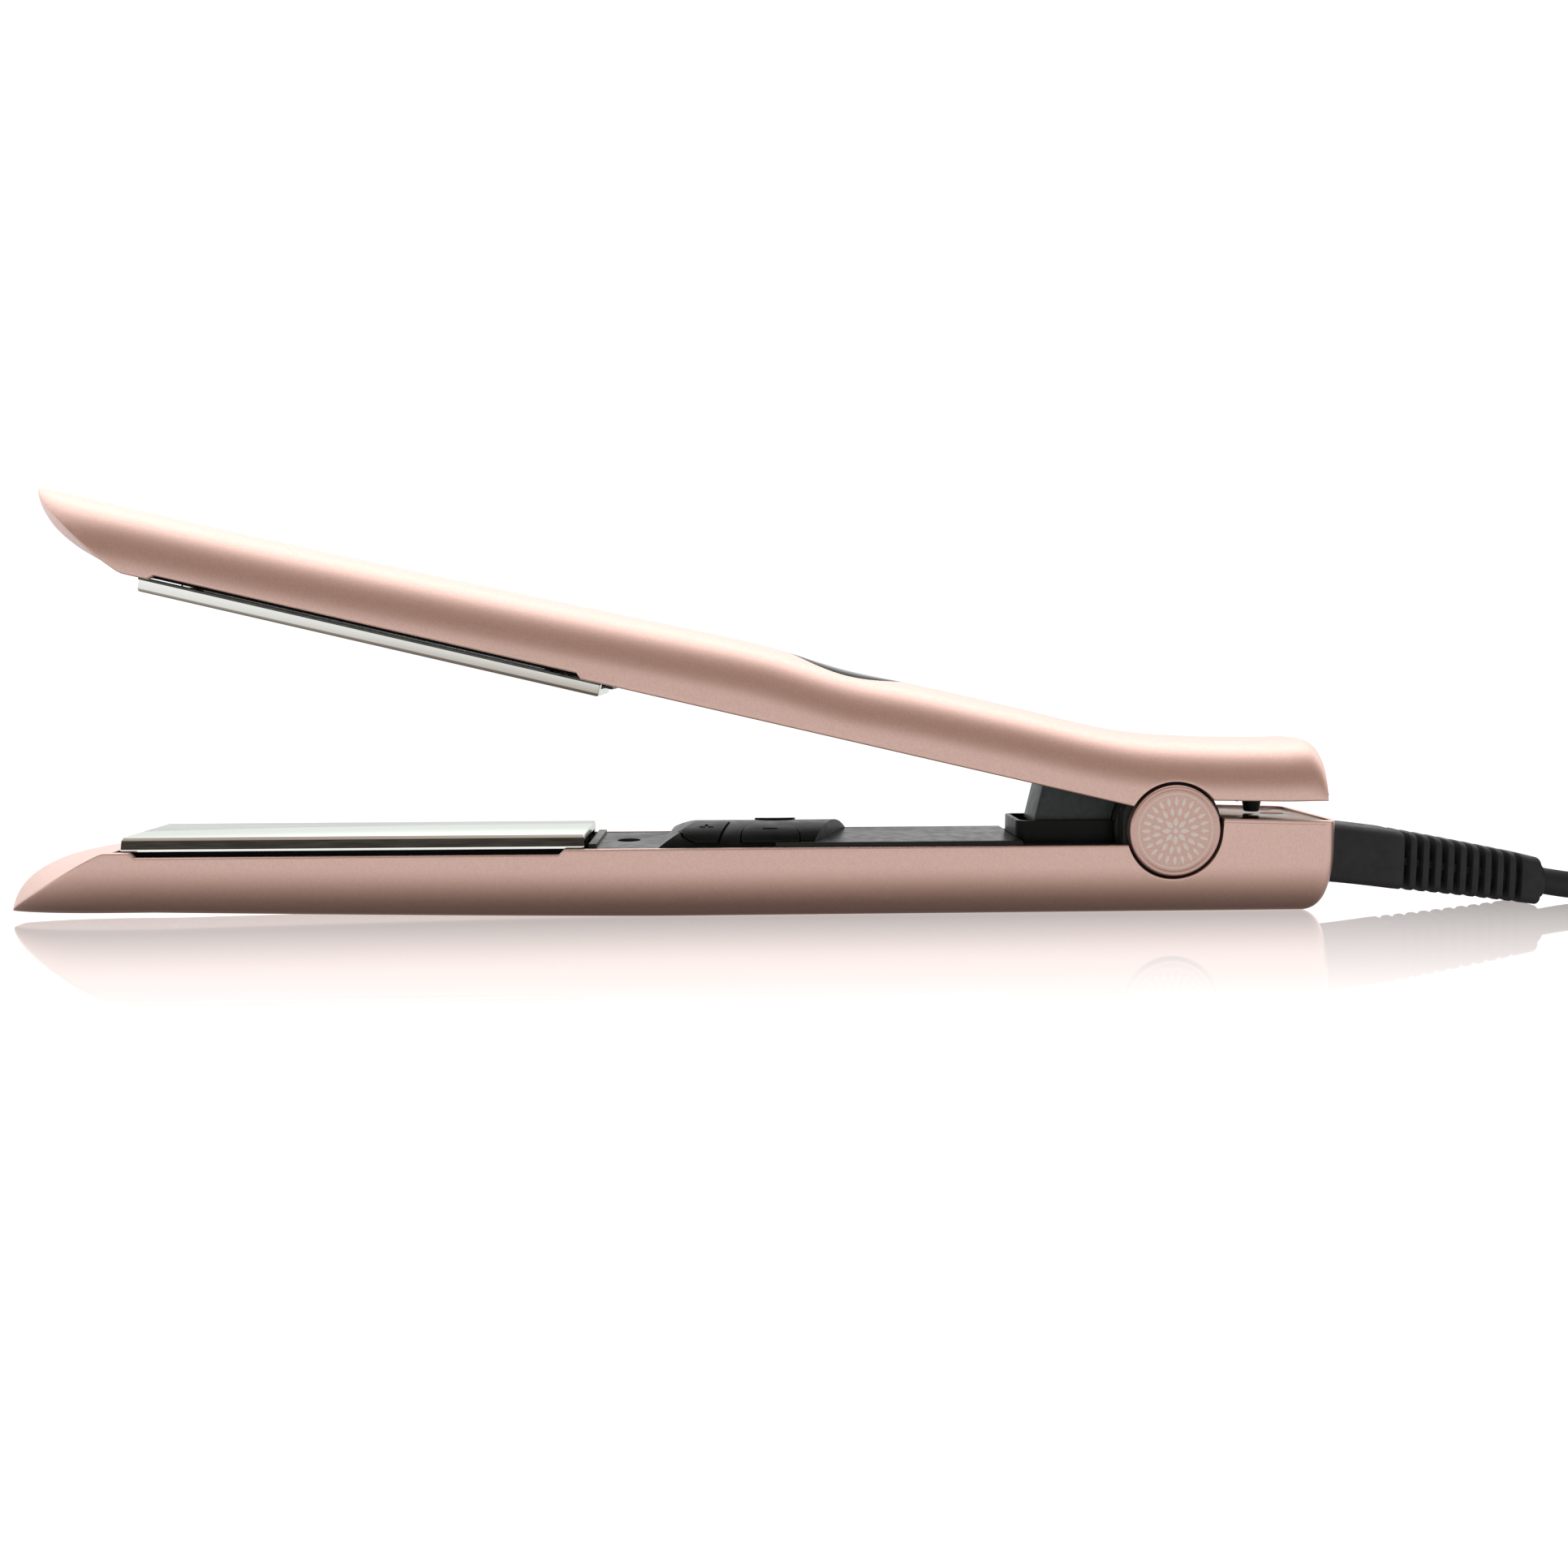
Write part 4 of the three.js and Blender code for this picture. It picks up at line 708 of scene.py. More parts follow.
class Arm:
    """One casing's form, in depths from the hinge plane: sign -1 for the lower arm, 1 for the upper."""

    EDGE_R = 0.4
    SIDE_RISES = (12, 10.2, 8.6, 7, 5.5, 4, 2.5, 1.2)  # points on the straight side, above the shoulder
    ROUND_STEPS = 26

    def __init__(self, sign, crown, edge, flat, rear_x, corner_r=0, swept_tail=False):
        self.sign, self.crown, self.edge, self.flat, self.rear_x = sign, crown, edge, flat, rear_x
        self.corner_r, self.swept_tail = corner_r, swept_tail

    def width(self, x):
        """Half width at a station, with the rear end's corners rounded in plan."""
        past = max(x - (self.rear_x - self.corner_r), 0)
        return half_width(x) - self.corner_r + math.sqrt(max(self.corner_r ** 2 - past ** 2, 0))

    def side(self, x, inset=0.0):
        """The half section (y, depth) down the straight side and round to the crown's middle."""
        width, crown = self.width(x), self.sign * self.crown(x)
        flat = self.flat * width / ARM_HALF_WIDTH
        shoulder, deep = crown - ROUND_HEIGHT, ROUND_HEIGHT - inset
        line = [(width - inset, shoulder - rise) for rise in self.SIDE_RISES]
        for i in range(self.ROUND_STEPS + 1):
            angle = math.pi / 2 * i / self.ROUND_STEPS
            line.append((flat + (width - inset - flat) * math.cos(angle), shoulder + deep * math.sin(angle)))
        return [*line, (flat / 2, crown - inset), (0, crown - inset)]

    def surface(self, x, y):
        """Height of the outside over a place in plan."""
        width, flat = half_width(x), self.flat * half_width(x) / ARM_HALF_WIDTH
        out = max(abs(y) - flat, 0) / (width - flat)
        drop = ROUND_HEIGHT * (1 - math.sqrt(max(1 - out ** 2, 0)))
        return self.sign * (self.sign * self.crown(x) - drop)

    def face(self, x, y):
        """Depth of the mating face at a place in plan."""
        if x >= NOSE_X:
            return self.sign * self.edge(x)
        fall = UPPER_NOSE_FALL if self.sign > 0 else LOWER_NOSE_FALL
        return nose_face(x, y / half_width(x), self.sign * self.crown(x) - 0.3, fall)

    def placed(self, x, half):
        """A whole ring from its half, with the tail's end leaning forward and rounded in plan."""
        whole = half + [(-y, depth) for y, depth in half[-2:0:-1]]
        share = smooth_step((x - 20) / (TAIL_X - 20)) if self.swept_tail else 0
        return [(x - share * (1.6 * (y / ARM_HALF_WIDTH) ** 2 + 0.28 * (depth - 14.9)), y, self.sign * depth)
                for y, depth in whole]

    def outer_ring(self, x):
        """The outside, a rounded edge and the mating face."""
        line = [Vector(point) for point in self.side(x)]
        first = next(i for i, point in enumerate(line) if point.y > self.face(x, point.x))
        before, after = line[first - 1], line[first]
        low, high = (self.face(x, point.x) - point.y for point in (before, after))
        corner = before + (after - before) * (low / (low - high))
        radius = min(self.EDGE_R, 0.3 * corner.x, 0.4 * (line[-1].y - self.face(x, 0)))
        start = corner + (line[min(first + 1, len(line) - 1)] - corner).normalized() * radius
        outside = [point if i >= first and (point - corner).length > 1.3 * radius else start
                   for i, point in enumerate(line)]
        end = Vector((corner.x - radius, self.face(x, corner.x - radius)))
        edge = [start * (1 - t) ** 2 + corner * 2 * t * (1 - t) + end * t * t for t in (0.25, 0.5, 0.75, 1)]
        inward = [Vector((end.x * t, self.face(x, end.x * t))) for t in (0.8, 0.6, 0.4, 0.2, 0)]
        return self.placed(x, [tuple(p) for p in (*outside[::-1], *edge, *inward)])

    def outer(self, stations):
        return lofted([self.outer_ring(x) for x in stations])

    def cavity(self, stations):
        """The room inside the walls, open past the mating edge."""
        end = self.rear_x - WALL
        inside = [CAVITY_START_X, *[x for x in stations if CAVITY_START_X + 0.2 < x < end - 0.2], end]
        rings = []
        for x in inside[::2] + ([end] if len(inside) % 2 == 0 else []):
            line = self.side(x, WALL)[len(self.SIDE_RISES)::2]
            half = [*line[::-1], (line[0][0], -6), (0, -6)]
            rings.append(self.placed(x, half))
        return lofted(rings)


def spread(start, end, step):
    count = max(1, round((end - start) / step))
    return [start + (end - start) * i / count for i in range(count)]


def casing_stations(rear_x, rear_details):
    """Stations along an arm, closer together where its form turns quickly."""
    nose = [NOSE_X - (NOSE_X - TIP_X) * math.cos(math.pi / 2 * i / 40) for i in range(40)]
    slant = [0, 0.2, NOTCH_SLANT / 2, NOTCH_SLANT - 0.2, NOTCH_SLANT]
    notch = [NOTCH[0] - 0.25, *[NOTCH[0] + x for x in slant], NOTCH[0] + NOTCH_SLANT + 0.25]
    notch_end = [sum(NOTCH) - x for x in reversed(notch)]
    cheek = [-CHEEK_CUT_R * math.cos(math.pi * i / 64) for i in range(1, 64)]
    rear = [rear_x - 6 * math.cos(math.pi / 2 * i / 14) for i in range(15)]
    return [
        *nose, NOSE_X, -234, *notch, *spread(-229.5, -139, 4.5), *notch_end,
        *spread(-136, -112, 4), *spread(-112, -48, 2), *spread(-48, -11.6, 2.4), -11.3, -11,
        *cheek, *rear_details, *spread(12, rear_x - 6.6, 1.6), *rear,
    ]


LOWER_ARM = Arm(-1, lower_crown, lower_edge, 6, REAR_X, corner_r=4)
UPPER_ARM = Arm(1, upper_crown, upper_edge, 3.5, TAIL_X, swept_tail=True)


def make_lower_casing():
    stations = casing_stations(REAR_X, [CHEEK_CUT_R - 0.02, CHEEK_CUT_R + 0.2])
    neck = prism(rounded_rectangle(0, RELIEF_Z, 5.3, 4.8, 1.2), 30, 45, "x")
    groove = [(10.5, 1.75), (REAR_X + 1, 0.95), (REAR_X + 1, 1.2), (10.5, 2.0)]
    grooves = [prism(groove, *sorted((side * 15.25, side * 17)), "y") for side in (-1, 1)]
    made = carved("lower_casing_shell", LOWER_ARM.outer(stations), LOWER,
                  cut=[LOWER_ARM.cavity(stations), neck, *grooves])
    return finished(made, "lower_casing", angle=30)


def make_upper_casing():
    stations = casing_stations(TAIL_X, [CHEEK_CUT_R])
    made = carved("upper_casing_shell", UPPER_ARM.outer(stations), UPPER,
                  cut=[UPPER_ARM.cavity(stations), window_skin(1.0, 0.12, 25)])
    return finished(made, "upper_casing", angle=30)


# ---- the window in the thumb dish
WINDOW_X = -80
WINDOW_HALF = (15.5, 8.6)


def window_outline(grow, sides=96):
    return arc(WINDOW_X, 0, WINDOW_HALF[0] + grow, WINDOW_HALF[1] + grow, 0, 360 - 360 / sides, sides - 1)


def window_skin(depth, grow, top=None):
    """A solid under the window's face, `depth` thick; `top` raises its upper side clear of the casing."""
    levels = [0.02, 0.35, 0.6, 0.8, 0.93, 0.98, 1]
    upper, lower = [], []
    for level in levels:
        ring = [(WINDOW_X + (x - WINDOW_X) * level, y * level) for x, y in window_outline(grow)]
        soften = 0.16 * max(level - 0.93, 0) / 0.07 if top is None else 0
        upper.append([(x, y, (UPPER_ARM.surface(x, y) + 0.03 - soften) if top is None else top)
                      for x, y in ring])
        lower.append([(x, y, UPPER_ARM.surface(x, y) - depth) for x, y in ring])
    return lofted(upper + lower[::-1])


def make_window():
    made = new_object("display_glass", mesh_of(window_skin(0.9, -0.02), UPPER))
    return finished(made, "display_window", angle=45)


# ---- plates
PLATE_X = (-234.4, -132.8)


def plate_form(sign):
    """A slab with a bevelled top, sides that flare a little and a thin flange along each side."""
    brow = 12.45 if sign < 0 else 12.7
    side = [(0, 0.15), (brow - 0.75, 0.15), (brow - 0.5, 0.22), (brow - 0.05, 0.78), (brow, 0.9),
            (13.0, 2.72), (13.2, 2.78), (13.3, 2.88), (13.3, 3.22), (13.2, 3.3), (9.6, 3.3), (9.6, 1.8),
            (0, 1.8)]
    outline = side + [(-y, z) for y, z in side[-2:0:-1]]
    ends = []
    for x, inset in ((PLATE_X[0], 0.35), (PLATE_X[0] + 0.12, 0.1), (PLATE_X[0] + 0.4, 0),
                     (PLATE_X[1] - 0.4, 0), (PLATE_X[1] - 0.12, 0.1), (PLATE_X[1], 0.35)):
        ends.append([(x, y * (1 - inset / 13), sign * (z + (inset if z < 0.5 else 0))) for y, z in outline])
    return lofted(ends)


def make_plate(prefix, sign):
    made = new_object(f"{prefix}_plate_piece", mesh_of(plate_form(sign), ARM_OF[prefix]))
    finished(made, f"{prefix}_plate", angle=20)
    made.data.materials.append(LOOKS["plate_side"].material)
    back = ARM_OF[prefix].inverted()
    for face in made.data.polygons:
        centre = back @ (face.center / MM)
        dark = (1.2, 2.74) if sign < 0 else (2.73, 3.4)
        if dark[0] < sign * centre.z < dark[1] and 12 < abs(centre.y):
            face.material_index = 1


# ---- hinge caps
def cap_profile():
    """(radius, height) of a cap: a shallow dished face inside a raised, rounded rim."""
    rim = arc(CAP_R - 0.55, CAP_FACE_Y - 0.55, 0.55, 0.55, 0, 90, 6)
    return [(0, CAP_INNER_Y), (CAP_R, CAP_INNER_Y), *rim, (CAP_R - 0.95, CAP_FACE_Y),
            (CAP_R - 1.15, CAP_FACE_Y - 0.1), (CAP_R - 1.5, CAP_FACE_Y - 0.14), (0, CAP_FACE_Y - 0.14)]


def leaf(length, width, steps=8):
    """A pointed leaf outline from the origin along +X."""
    upper = [(length * i / steps, width / 2 * math.sin(math.pi * (i / steps) ** 0.8))
             for i in range(steps + 1)]
    return upper + [(x, -y) for x, y in upper[-2:0:-1]]


def rosette(side):
    """An etched ornament: rings of small leaves inside a fine circle."""
    form = Form()
    low, high = CAP_FACE_Y - 0.16, CAP_FACE_Y - 0.11
    for count, start, length, width, twist in (
            (8, 1.0, 2.25, 1.1, 0), (16, 3.4, 2.15, 0.95, 0.5), (24, 5.7, 2.15, 0.85, 0)):
        for i in range(count):
            angle = 2 * math.pi * (i + twist) / count
            turn = Matrix.Rotation(angle, 4, "Y") @ Matrix.Translation((start, 0, 0))
            form.add(prism(leaf(length, width), low, high, "y").moved(turn))
    form.add(turned([(8.3, low), (8.52, low), (8.52, high), (8.3, high)], 96))
    form.add(turned([(0, low), (0.55, low), (0.55, high), (0, high)], 32))
    return form.moved(Matrix.Scale(side, 4, (0, 1, 0)))


def make_cap(node, side):
    profile = [(r, side * y) for r, y in cap_profile()]
    made = new_object(f"{node}_disc", mesh_of(turned(profile, 128), LOWER))
    finished(made, node, "cap_lacquer", angle=40)
    trim(f"{node}_ornament", rosette(side), "etched")


# ---- strain relief
def relief_centre(x):
    """Height of the strain relief's middle, which droops towards the table."""
    return RELIEF_Z - 0.0586 * max(x - REAR_X, 0) ** 1.222


def relief_ring(x, half_y, half_z, corner, web=None):
    """A section of the boot; `web` keeps a strip on each side at that half width."""
    corner = min(corner, half_y - 0.05, half_z - 0.05)
    side = web or half_y
    quarter = [(side, 0.0), (side, 0.9), (half_y, 0.95),
               *arc(half_y - corner, half_z - corner, corner, corner, 0, 90, 6), (0, half_z)]
    ring = quarter + [(-y, z) for y, z in quarter[-2::-1]]
    ring = ring + [(y, -z) for y, z in ring[-2:0:-1]]
    return [(x, y, relief_centre(x) + z) for y, z in ring]


def make_relief():
    """A tapered rubber boot: plain neck, ten ribs joined by side webs, and a small end collar."""
    def width(x):
        return 7 - 0.9 * max(x - 56, 0) / 34

    def height(x):
        return 6.95 - 1.25 * max(x - 56, 0) / 34

    def skin(x, sink=0.0, corner=2.2):
        return relief_ring(x, width(x) - sink, height(x) - sink, corner)

    first_slot, pitch, slot, count, edge = 57.6, 3.05, 1.5, 10, 0.25
    start, end = REAR_X + 0.3, 91.4
    rings = [relief_ring(start - 1.6, 5, 4.5, 1.2), relief_ring(start, 5, 4.5, 1.2),
             skin(start, 0.5, 1.9), skin(start + 0.15, 0.15, 2.1), skin(start + 0.5)]
    rings += [skin(x) for x in spread(40.5, first_slot - 0.6, 1.6)]
    for i in range(count):
        front = first_slot + i * pitch
        back = front + slot
        rings += [skin(front - 0.3), skin(front - 0.08, 0.08), skin(front, edge)]
        rings += [relief_ring(x, 4.3, 4.3, 2.6, web=width(x) - 1.7) for x in (front + 0.02, back - 0.02)]
        rings += [skin(back, edge), skin(back + 0.08, 0.08), skin(back + 0.3)]
    rings += [relief_ring(end - before, width(end) - sink, height(end) - sink, 2.2)
              for before, sink in ((0.4, 0), (0.1, 0.12), (0, 0.4))]
    rings.append(relief_ring(end, 4.9, 4.6, 3.2))
    rings += [relief_ring(RELIEF_END_X - before, half_y, half_z, 3.2)
              for before, half_y, half_z in ((0.9, 4.8, 4.5), (0.4, 4.55, 4.3), (0.15, 4.1, 3.9))]
    dimple_x, dimple_r = 50.2, 0.7
    top = relief_centre(dimple_x) + height(dimple_x)
    profile = [(0, top - 1.1), (dimple_r, top - 1.1), (dimple_r + 0.05, top + 2), (0, top + 2)]
    made = carved("cord_boot", lofted(rings), LOWER, cut=[turned(profile, 32, "z", (dimple_x, 0, 0))])
    return finished(made, "strain_relief", angle=38)


# ---- control pod and keys
POD_START_X = (-116.2, -113.4)  # near and far corners of its front end
POD_END_X = (-81.8, -71.6)
POD_RAMP_X = -106
KEY_Y = (-11.9, -2.6)
PLUS_X = (-111.8, -101.4)
MINUS_X = (-97.6, -84.6)
POWER_KEY = (-89.6, 3.9, 4.8, 3.2)  # centre and half sizes
KEY_PROUD = 0.35
POWER_PROUD = 0.45
KEY_GAP = 0.36
SIGN_DEPTH = 0.25


def pod_dome(rise, bottom):
    sagitta = POD_CREST_Z - DECK_Z
    radius = (POD_BASE_HALF_WIDTH ** 2 + sagitta ** 2) / (2 * sagitta)
    half = math.degrees(math.asin(POD_BASE_HALF_WIDTH / radius))
    top = arc(0, POD_CREST_Z - radius, radius + rise, radius + rise, 90 - half, 90 + half, 48)
    section = [(POD_BASE_HALF_WIDTH, bottom), *top, (-POD_BASE_HALF_WIDTH, bottom)]
    return prism(section, -125, -65, "x")


def pod_front(rise, bottom):
    length, height = POD_RAMP_X - POD_START_X[0], POD_CREST_Z - DECK_Z + 0.1
    front = [(POD_RAMP_X - length * i / 24, DECK_Z + 0.1 + rise + height * (1 - (i / 24) ** 1.6))
             for i in range(25)]
    return prism([(POD_START_X[0], bottom), (-60, bottom), (-60, 3), (POD_RAMP_X, 3), *front], -20, 20, "y")


def pod_plan():
    y = POD_BASE_HALF_WIDTH
    return [(POD_START_X[0], -y), (POD_END_X[0], -y), (POD_END_X[1], y), (POD_START_X[1], y)]


def plus_outline(grow):
    (x0, x1), (y0, y1) = PLUS_X, KEY_Y
    return [(x0 + 3.5 - grow, y0 - grow), (x1 - 1.6 + grow, y0 - grow), (x1 + 1 + grow, y1 + grow),
            *arc(x0 + 5 - grow, y1 - 4 + grow, 5, 4, 90, 180, 14), (x0 + 1 - grow, y0 + 2 - grow)]


def minus_outline(grow):
    (x0, x1), (y0, y1) = MINUS_X, KEY_Y
    return [(x0 - grow, y0 - grow), (x1 + grow, y0 - grow),
            *arc((x0 + x1) / 2, y0 + 1, (x1 - x0) / 2 + grow, y1 - y0 - 1 + grow, 0, 180, 32)]


def power_outline(grow):
    x, y, half_x, half_y = POWER_KEY
    return arc(x, y, half_x + grow, half_y + grow, 0, 354, 59)


def bars(x, y, half_sizes):
    """The cutters of a minus sign, or of a plus sign."""
    return [prism(rounded_rectangle(x, y, a, b, min(a, b) * 0.6, 3), -10, 10) for a, b in half_sizes]


def power_sign(x, y):
    """The cutters of a power sign: an open ring and a stroke."""
    outer = arc(x, y, 1.6, 1.6, 125, 415, 30)
    inner = arc(x, y, 1.25, 1.25, 415, 125, 30)
    return [prism(outer + inner, -10, 10),
            prism(rounded_rectangle(x, y + 1.3, 0.18, 0.9, 0.1, 3), -10, 10)]


def make_pod():
    over_raised = box((RAISED_DECK_X - 0.3, -60), (-20, 20), (-20, RAISED_DECK_Z + 0.02))
    holes = [prism(outline(KEY_GAP), -10, 10) for outline in (plus_outline, minus_outline, power_outline)]
    made = carved("pod_shell", pod_dome(0, -6), LOWER, cut=[over_raised, *holes],
                  keep=[prism(pod_plan(), -10, 10), pod_front(0, DECK_Z + 0.02)])
    return finished(made, "control_pod", "pod_black", edge=0.22, segments=3)


def make_key(name, outline, proud, signs):
    """A key cap domed like the pod, with its signs cut into its top."""
    made = carved(f"{name}_key_cap", prism(outline(0), -4.5, 3), LOWER,
                  keep=[pod_dome(proud, -6), pod_front(proud, -8)])
    tidy_edges(made.data, 0.28, 3)
    under = pod_dome(proud - SIGN_DEPTH, -15)
    apply_cuts(made, [carved("groove", sign, LOWER, cut=[under]) for sign in signs], LOWER)
    return finished(made, f"{name}_button", "pod_black", angle=30)


# ---- opening spring
def make_spring():
    """The coil between the tray's floor and the shroud's roof, its turns a little closer together at the
    ends.
    """
    middle_x, radius, wire, turns = -22.6, 3.9, 0.5, 6
    low, high = -7.8, 9.6
    steps = turns * 24
    points = []
    for i in range(steps + 1):
        share = i / steps
        angle = 2 * math.pi * turns * share
        rise = smooth_step(share) * 0.25 + share * 0.75
        points.append(Vector((middle_x + radius * math.cos(angle), radius * math.sin(angle),
                              low + (high - low) * rise)))
    rings = []
    for i, point in enumerate(points):
        ahead = (points[min(i + 1, steps)] - points[max(i - 1, 0)]).normalized()
        out = Vector((point.x - middle_x, point.y, 0)).normalized()
        up = ahead.cross(out)
        rings.append([point + out * (wire * math.cos(a)) + up * (wire * math.sin(a))
                      for a in (2 * math.pi * k / 10 for k in range(10))])
    made = new_object("opening_coil", mesh_of(lofted(rings), LOWER))
    finished(made, "opening_spring", angle=60)
    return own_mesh(made)


# ---- pads under the plates
def make_pads():
    """Silicone pads under the plate carriers, each a copy of its CAD solid with rounded edges and a mesh of
    its own.
    """
    for prefix, axis, joint in (("lower", Vector((0, 0, -1)), "lower_plate_give"),
                                ("upper", Vector((0.2284, 0, 0.9736)), "upper_plate_give")):
        for end in ("front", "rear"):
            node = f"{prefix}_pad_{end}"
            pad = refined(node, edge=0.3)
            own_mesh(pad)


# ---- everything else, from the CAD solids
def make_tray_and_shroud():
    """The open box round the spring's foot and the hood over its head; both end at the hinge barrel."""
    def outline(start, half_width, r):
        centre = start + r
        return [(-6, -half_width), (-6, half_width), *arc(centre, half_width - r, r, r, 90, 180, 5),
                *arc(centre, r - half_width, r, r, 180, 270, 5)]

    barrel = prism(circle(12.1, 96), -20, 20, "y")
    tray = carved("tray_box", prism(outline(-34.2, 7.6, 2.2), -9.8, 1.5), LOWER,
                  cut=[prism(outline(-33.1, 6.5, 1.2), -8.6, 3), barrel])
    finished(tray, "spring_tray", "pod_black", edge=0.22, segments=3)
    shroud = carved("shroud_hood", prism(outline(-29.3, 5.9, 0.9), -6, 8.6), UPPER,
                    cut=[prism(outline(-28.8, 4.8, 0.5), -7, 7.4), barrel])
    finished(shroud, "spring_shroud", "shroud_grey", edge=0.2, segments=3)


def make_bumper():
    """A tapered rubber foot under the tail."""
    profile = [(0, STOP_FOOT_Z), (1.55, STOP_FOOT_Z), (1.75, STOP_FOOT_Z + 0.15), (2.3, 6), (2.3, 9), (0, 9)]
    made = new_object("tapered_bumper", mesh_of(turned(profile, 48, "z", (STOP_X, 0, 0)), LOWER))
    finished(made, "stop_bumper", angle=40)


def make_rest():
    well = box((-34.1, -11), (-20, 20), (-3.4, 5))
    refined("lower_deck", edge=0.2, cut=[well], place=LOWER)
    # The deck's opening runs on past the pod's slanted end, so a corner of it is filled.
    behind_pod = [(-81.4, -12.3), (-77.9, -12.3), (-77.9, -3.4)]
    trim("deck_infill", prism(behind_pod, -3.9, RAISED_DECK_Z), "black_plastic")
    refined("upper_deck", edge=0.22)
    # The rear cover wears the rose lacquer with painted shade in its colour.
    refined("lower_rear_cover", "rose_gloss_painted_shade", edge=0.3, segments=3)
    refined("lower_plate_carrier", "gap_black", edge=0.12)
    lead_way = box((-141, -132), (-3.6, 3.6), (4.2, 9.9))
    refined("upper_plate_carrier", "gap_black", edge=0.12, cut=[lead_way], place=UPPER)
    for edge, angle, nodes in (
            (0.12, 32, "cord_clamp lower_heater upper_heater lower_thermistor upper_thermal_fuse "
                       "control_board display_board plus_switch minus_switch power_switch"),
            (0.06, 32, "lower_heater_clip upper_heater_clip hinge_pin pin_ring hinge_bush_near "
                       "hinge_bush_far deck_screw upper_deck_screw rear_screw_near rear_screw_far "
                       "clamp_screw_near clamp_screw_far"),
            (0, 70, "live_lead neutral_lead lower_heater_lead upper_heater_lead")):
        for node in nodes.split():
            refined(node, edge=edge, angle=angle)


# ---- studio
BRIGHTEST = 2.2


def make_world():
    """A studio of light and dark bands: black flags above the camera, white walls beyond the object."""
    world = bpy.data.worlds.new("studio")
    world.use_nodes = True
    bpy.context.scene.world = world
    tree = world.node_tree
    link = tree.links.new
    place = node_in(tree, "ShaderNodeTexCoord")
    split = node_in(tree, "ShaderNodeSeparateXYZ")
    link(place.outputs["Generated"], split.inputs["Vector"])

    def bands(stops):
        """Light from the elevation in degrees: its brightness, and how far it leans to brown."""
        height = node_in(tree, "ShaderNodeMapRange", From_Min=-1)
        link(split.outputs["Z"], height.inputs["Value"])
        return colour_ramp(tree, height.outputs["Result"], [
            ((math.sin(math.radians(elevation)) + 1) / 2,
             [value / BRIGHTEST * (1 - lost * brown) for lost in (0, 0.2, 0.32)])
            for elevation, value, brown in stops])

    front = bands([(-90, 0.03, 1), (-74, 0.11, 1), (-50, 0.3, 0.9), (-33, 0.58, 0.5), (-20, 0.86, 0.1),
                   (-5, 1.05, 0), (3, 0.9, 0), (10, 0.6, 0.5), (20, 0.41, 1), (40, 0.39, 1), (55, 0.47, 0.9),
                   (68, 0.62, 0.5), (78, 0.9, 0.2), (90, 1.2, 0)])
    back = bands([(-90, 0.08, 1), (-45, 0.06, 1), (-20, 0.4, 0.5), (-8, 1.0, 0), (0, 1.1, 0), (12, 1.3, 0),
                  (30, 1.8, 0), (60, 2.1, 0), (90, 1.8, 0)])
    side = node_in(tree, "ShaderNodeMapRange", From_Min=-0.4, From_Max=0.3)
    link(split.outputs["Y"], side.inputs["Value"])
    mix = node_in(tree, "ShaderNodeMix")
    mix.data_type = "RGBA"
    link(side.outputs["Result"], mix.inputs["Factor"])
    link(front, mix.inputs["A"])
    link(back, mix.inputs["B"])
    link(mix.outputs["Result"], tree.nodes["Background"].inputs["Color"])
    tree.nodes["Background"].inputs["Strength"].default_value = BRIGHTEST


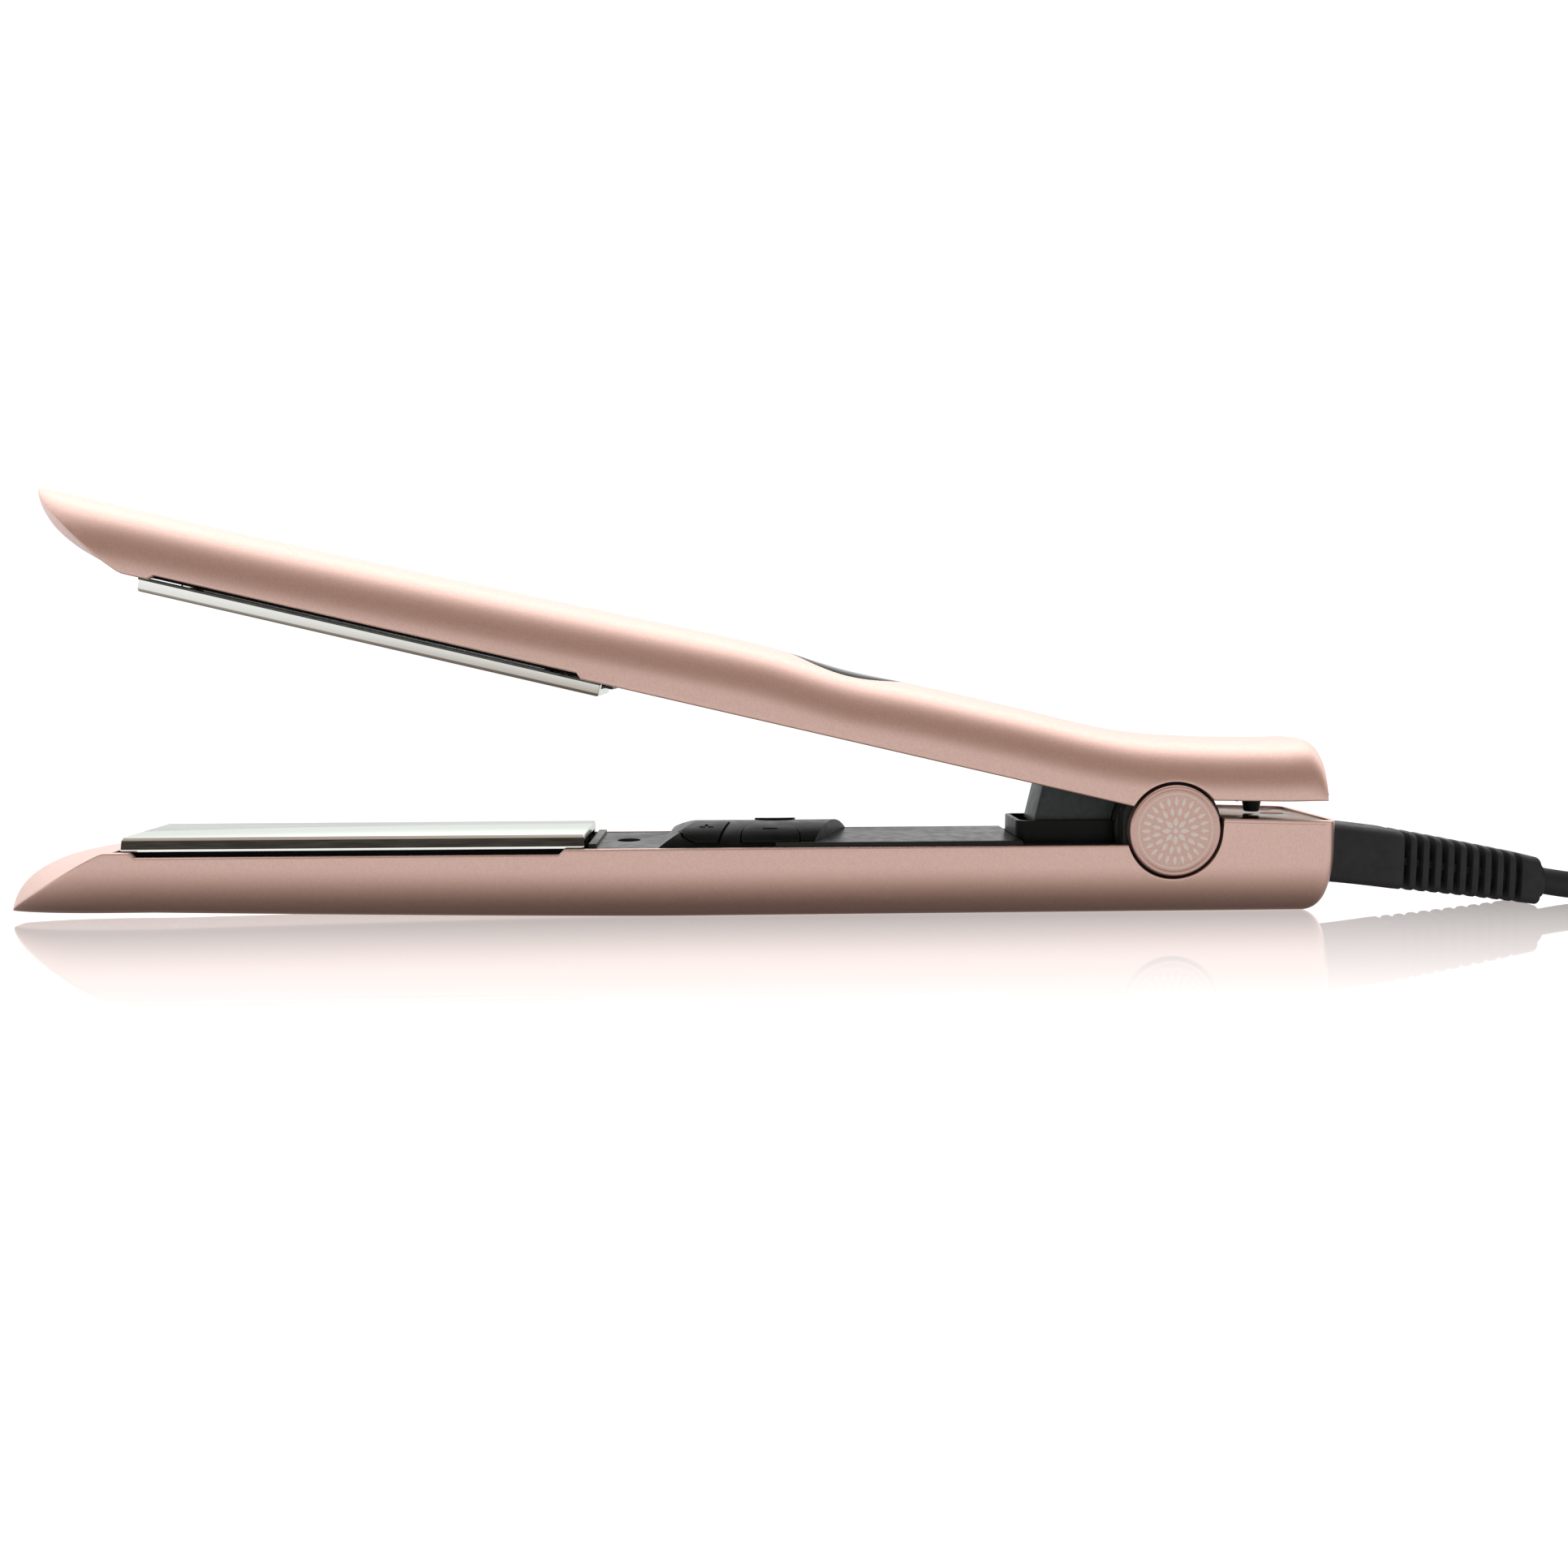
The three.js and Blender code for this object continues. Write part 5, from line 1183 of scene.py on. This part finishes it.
def make_floor():
    """A plain white table whose sheen shows the iron faintly, fading towards the camera; near the iron its
    pink-tinted glow adds a painted pink reflection of the casing.
    """
    mesh = bpy.data.meshes.new("floor")
    reach = 14
    mesh.from_pydata([(-reach, -reach, 0), (reach, -reach, 0), (reach, reach, 0), (-reach, reach, 0)],
                     [], [(0, 1, 2, 3)])
    floor = new_object("floor", mesh)
    material = bpy.data.materials.new("floor")
    material.use_nodes = True
    tree = material.node_tree
    link = tree.links.new
    tree.nodes.remove(tree.nodes["Principled BSDF"])
    # The glow's pink tint is painted reflection: full glow still clips to white, and under the sheen it tints
    # the iron's reflection pink.
    glow = node_in(tree, "ShaderNodeEmission", Color=(1, 0.93, 0.91, 1), Strength=1.15)
    sheen = node_in(tree, "ShaderNodeBsdfGlossy", Color=(1, 0.97, 0.96, 1), Roughness=0.03)
    mix = node_in(tree, "ShaderNodeMixShader")
    place = node_in(tree, "ShaderNodeTexCoord")
    split = node_in(tree, "ShaderNodeSeparateXYZ")
    fade = node_in(tree, "ShaderNodeMapRange", From_Min=-0.09, From_Max=0, To_Max=0.66)
    link(place.outputs["Object"], split.inputs["Vector"])
    link(split.outputs["Y"], fade.inputs["Value"])
    link(fade.outputs["Result"], mix.inputs["Fac"])
    link(glow.outputs["Emission"], mix.inputs[1])
    link(sheen.outputs["BSDF"], mix.inputs[2])
    link(mix.outputs["Shader"], tree.nodes["Material Output"].inputs["Surface"])
    mesh.materials.append(material)
    floor.visible_glossy = False
    floor.visible_shadow = False


def make_studio():
    make_world()
    make_floor()
    data = bpy.data.lights.new("overhead", "AREA")
    data.shape = "RECTANGLE"
    data.size, data.size_y = 1.6, 0.6
    data.energy = 1.5
    light = bpy.data.objects.new("overhead", data)
    light.location = (-0.1, 0.2, 1.0)
    light.rotation_euler = Vector((0, -0.2, -1.0)).to_track_quat("-Z", "Y").to_euler()
    bpy.context.scene.collection.objects.link(light)
    bpy.context.scene.view_settings.view_transform = "Standard"
    bpy.context.scene.view_settings.look = "None"


# ---- build
mains_cord, cord_pieces = make_cord()
boot = make_relief()
make_lower_casing()
make_upper_casing()
make_window()
make_plate("lower", -1)
make_plate("upper", 1)
make_cap("hinge_cap_near", -1)
make_cap("hinge_cap_far", 1)
make_pod()
make_key("plus", plus_outline, KEY_PROUD, bars(-105.6, -6.6, [(1.6, 0.34), (0.34, 1.6)]))
make_key("minus", minus_outline, KEY_PROUD, bars(-91.1, -7.6, [(1.7, 0.34)]))
make_key("power", power_outline, POWER_PROUD, power_sign(*POWER_KEY[:2]))
make_spring()
make_pads()
make_tray_and_shroud()
make_bumper()
make_rest()
make_studio()
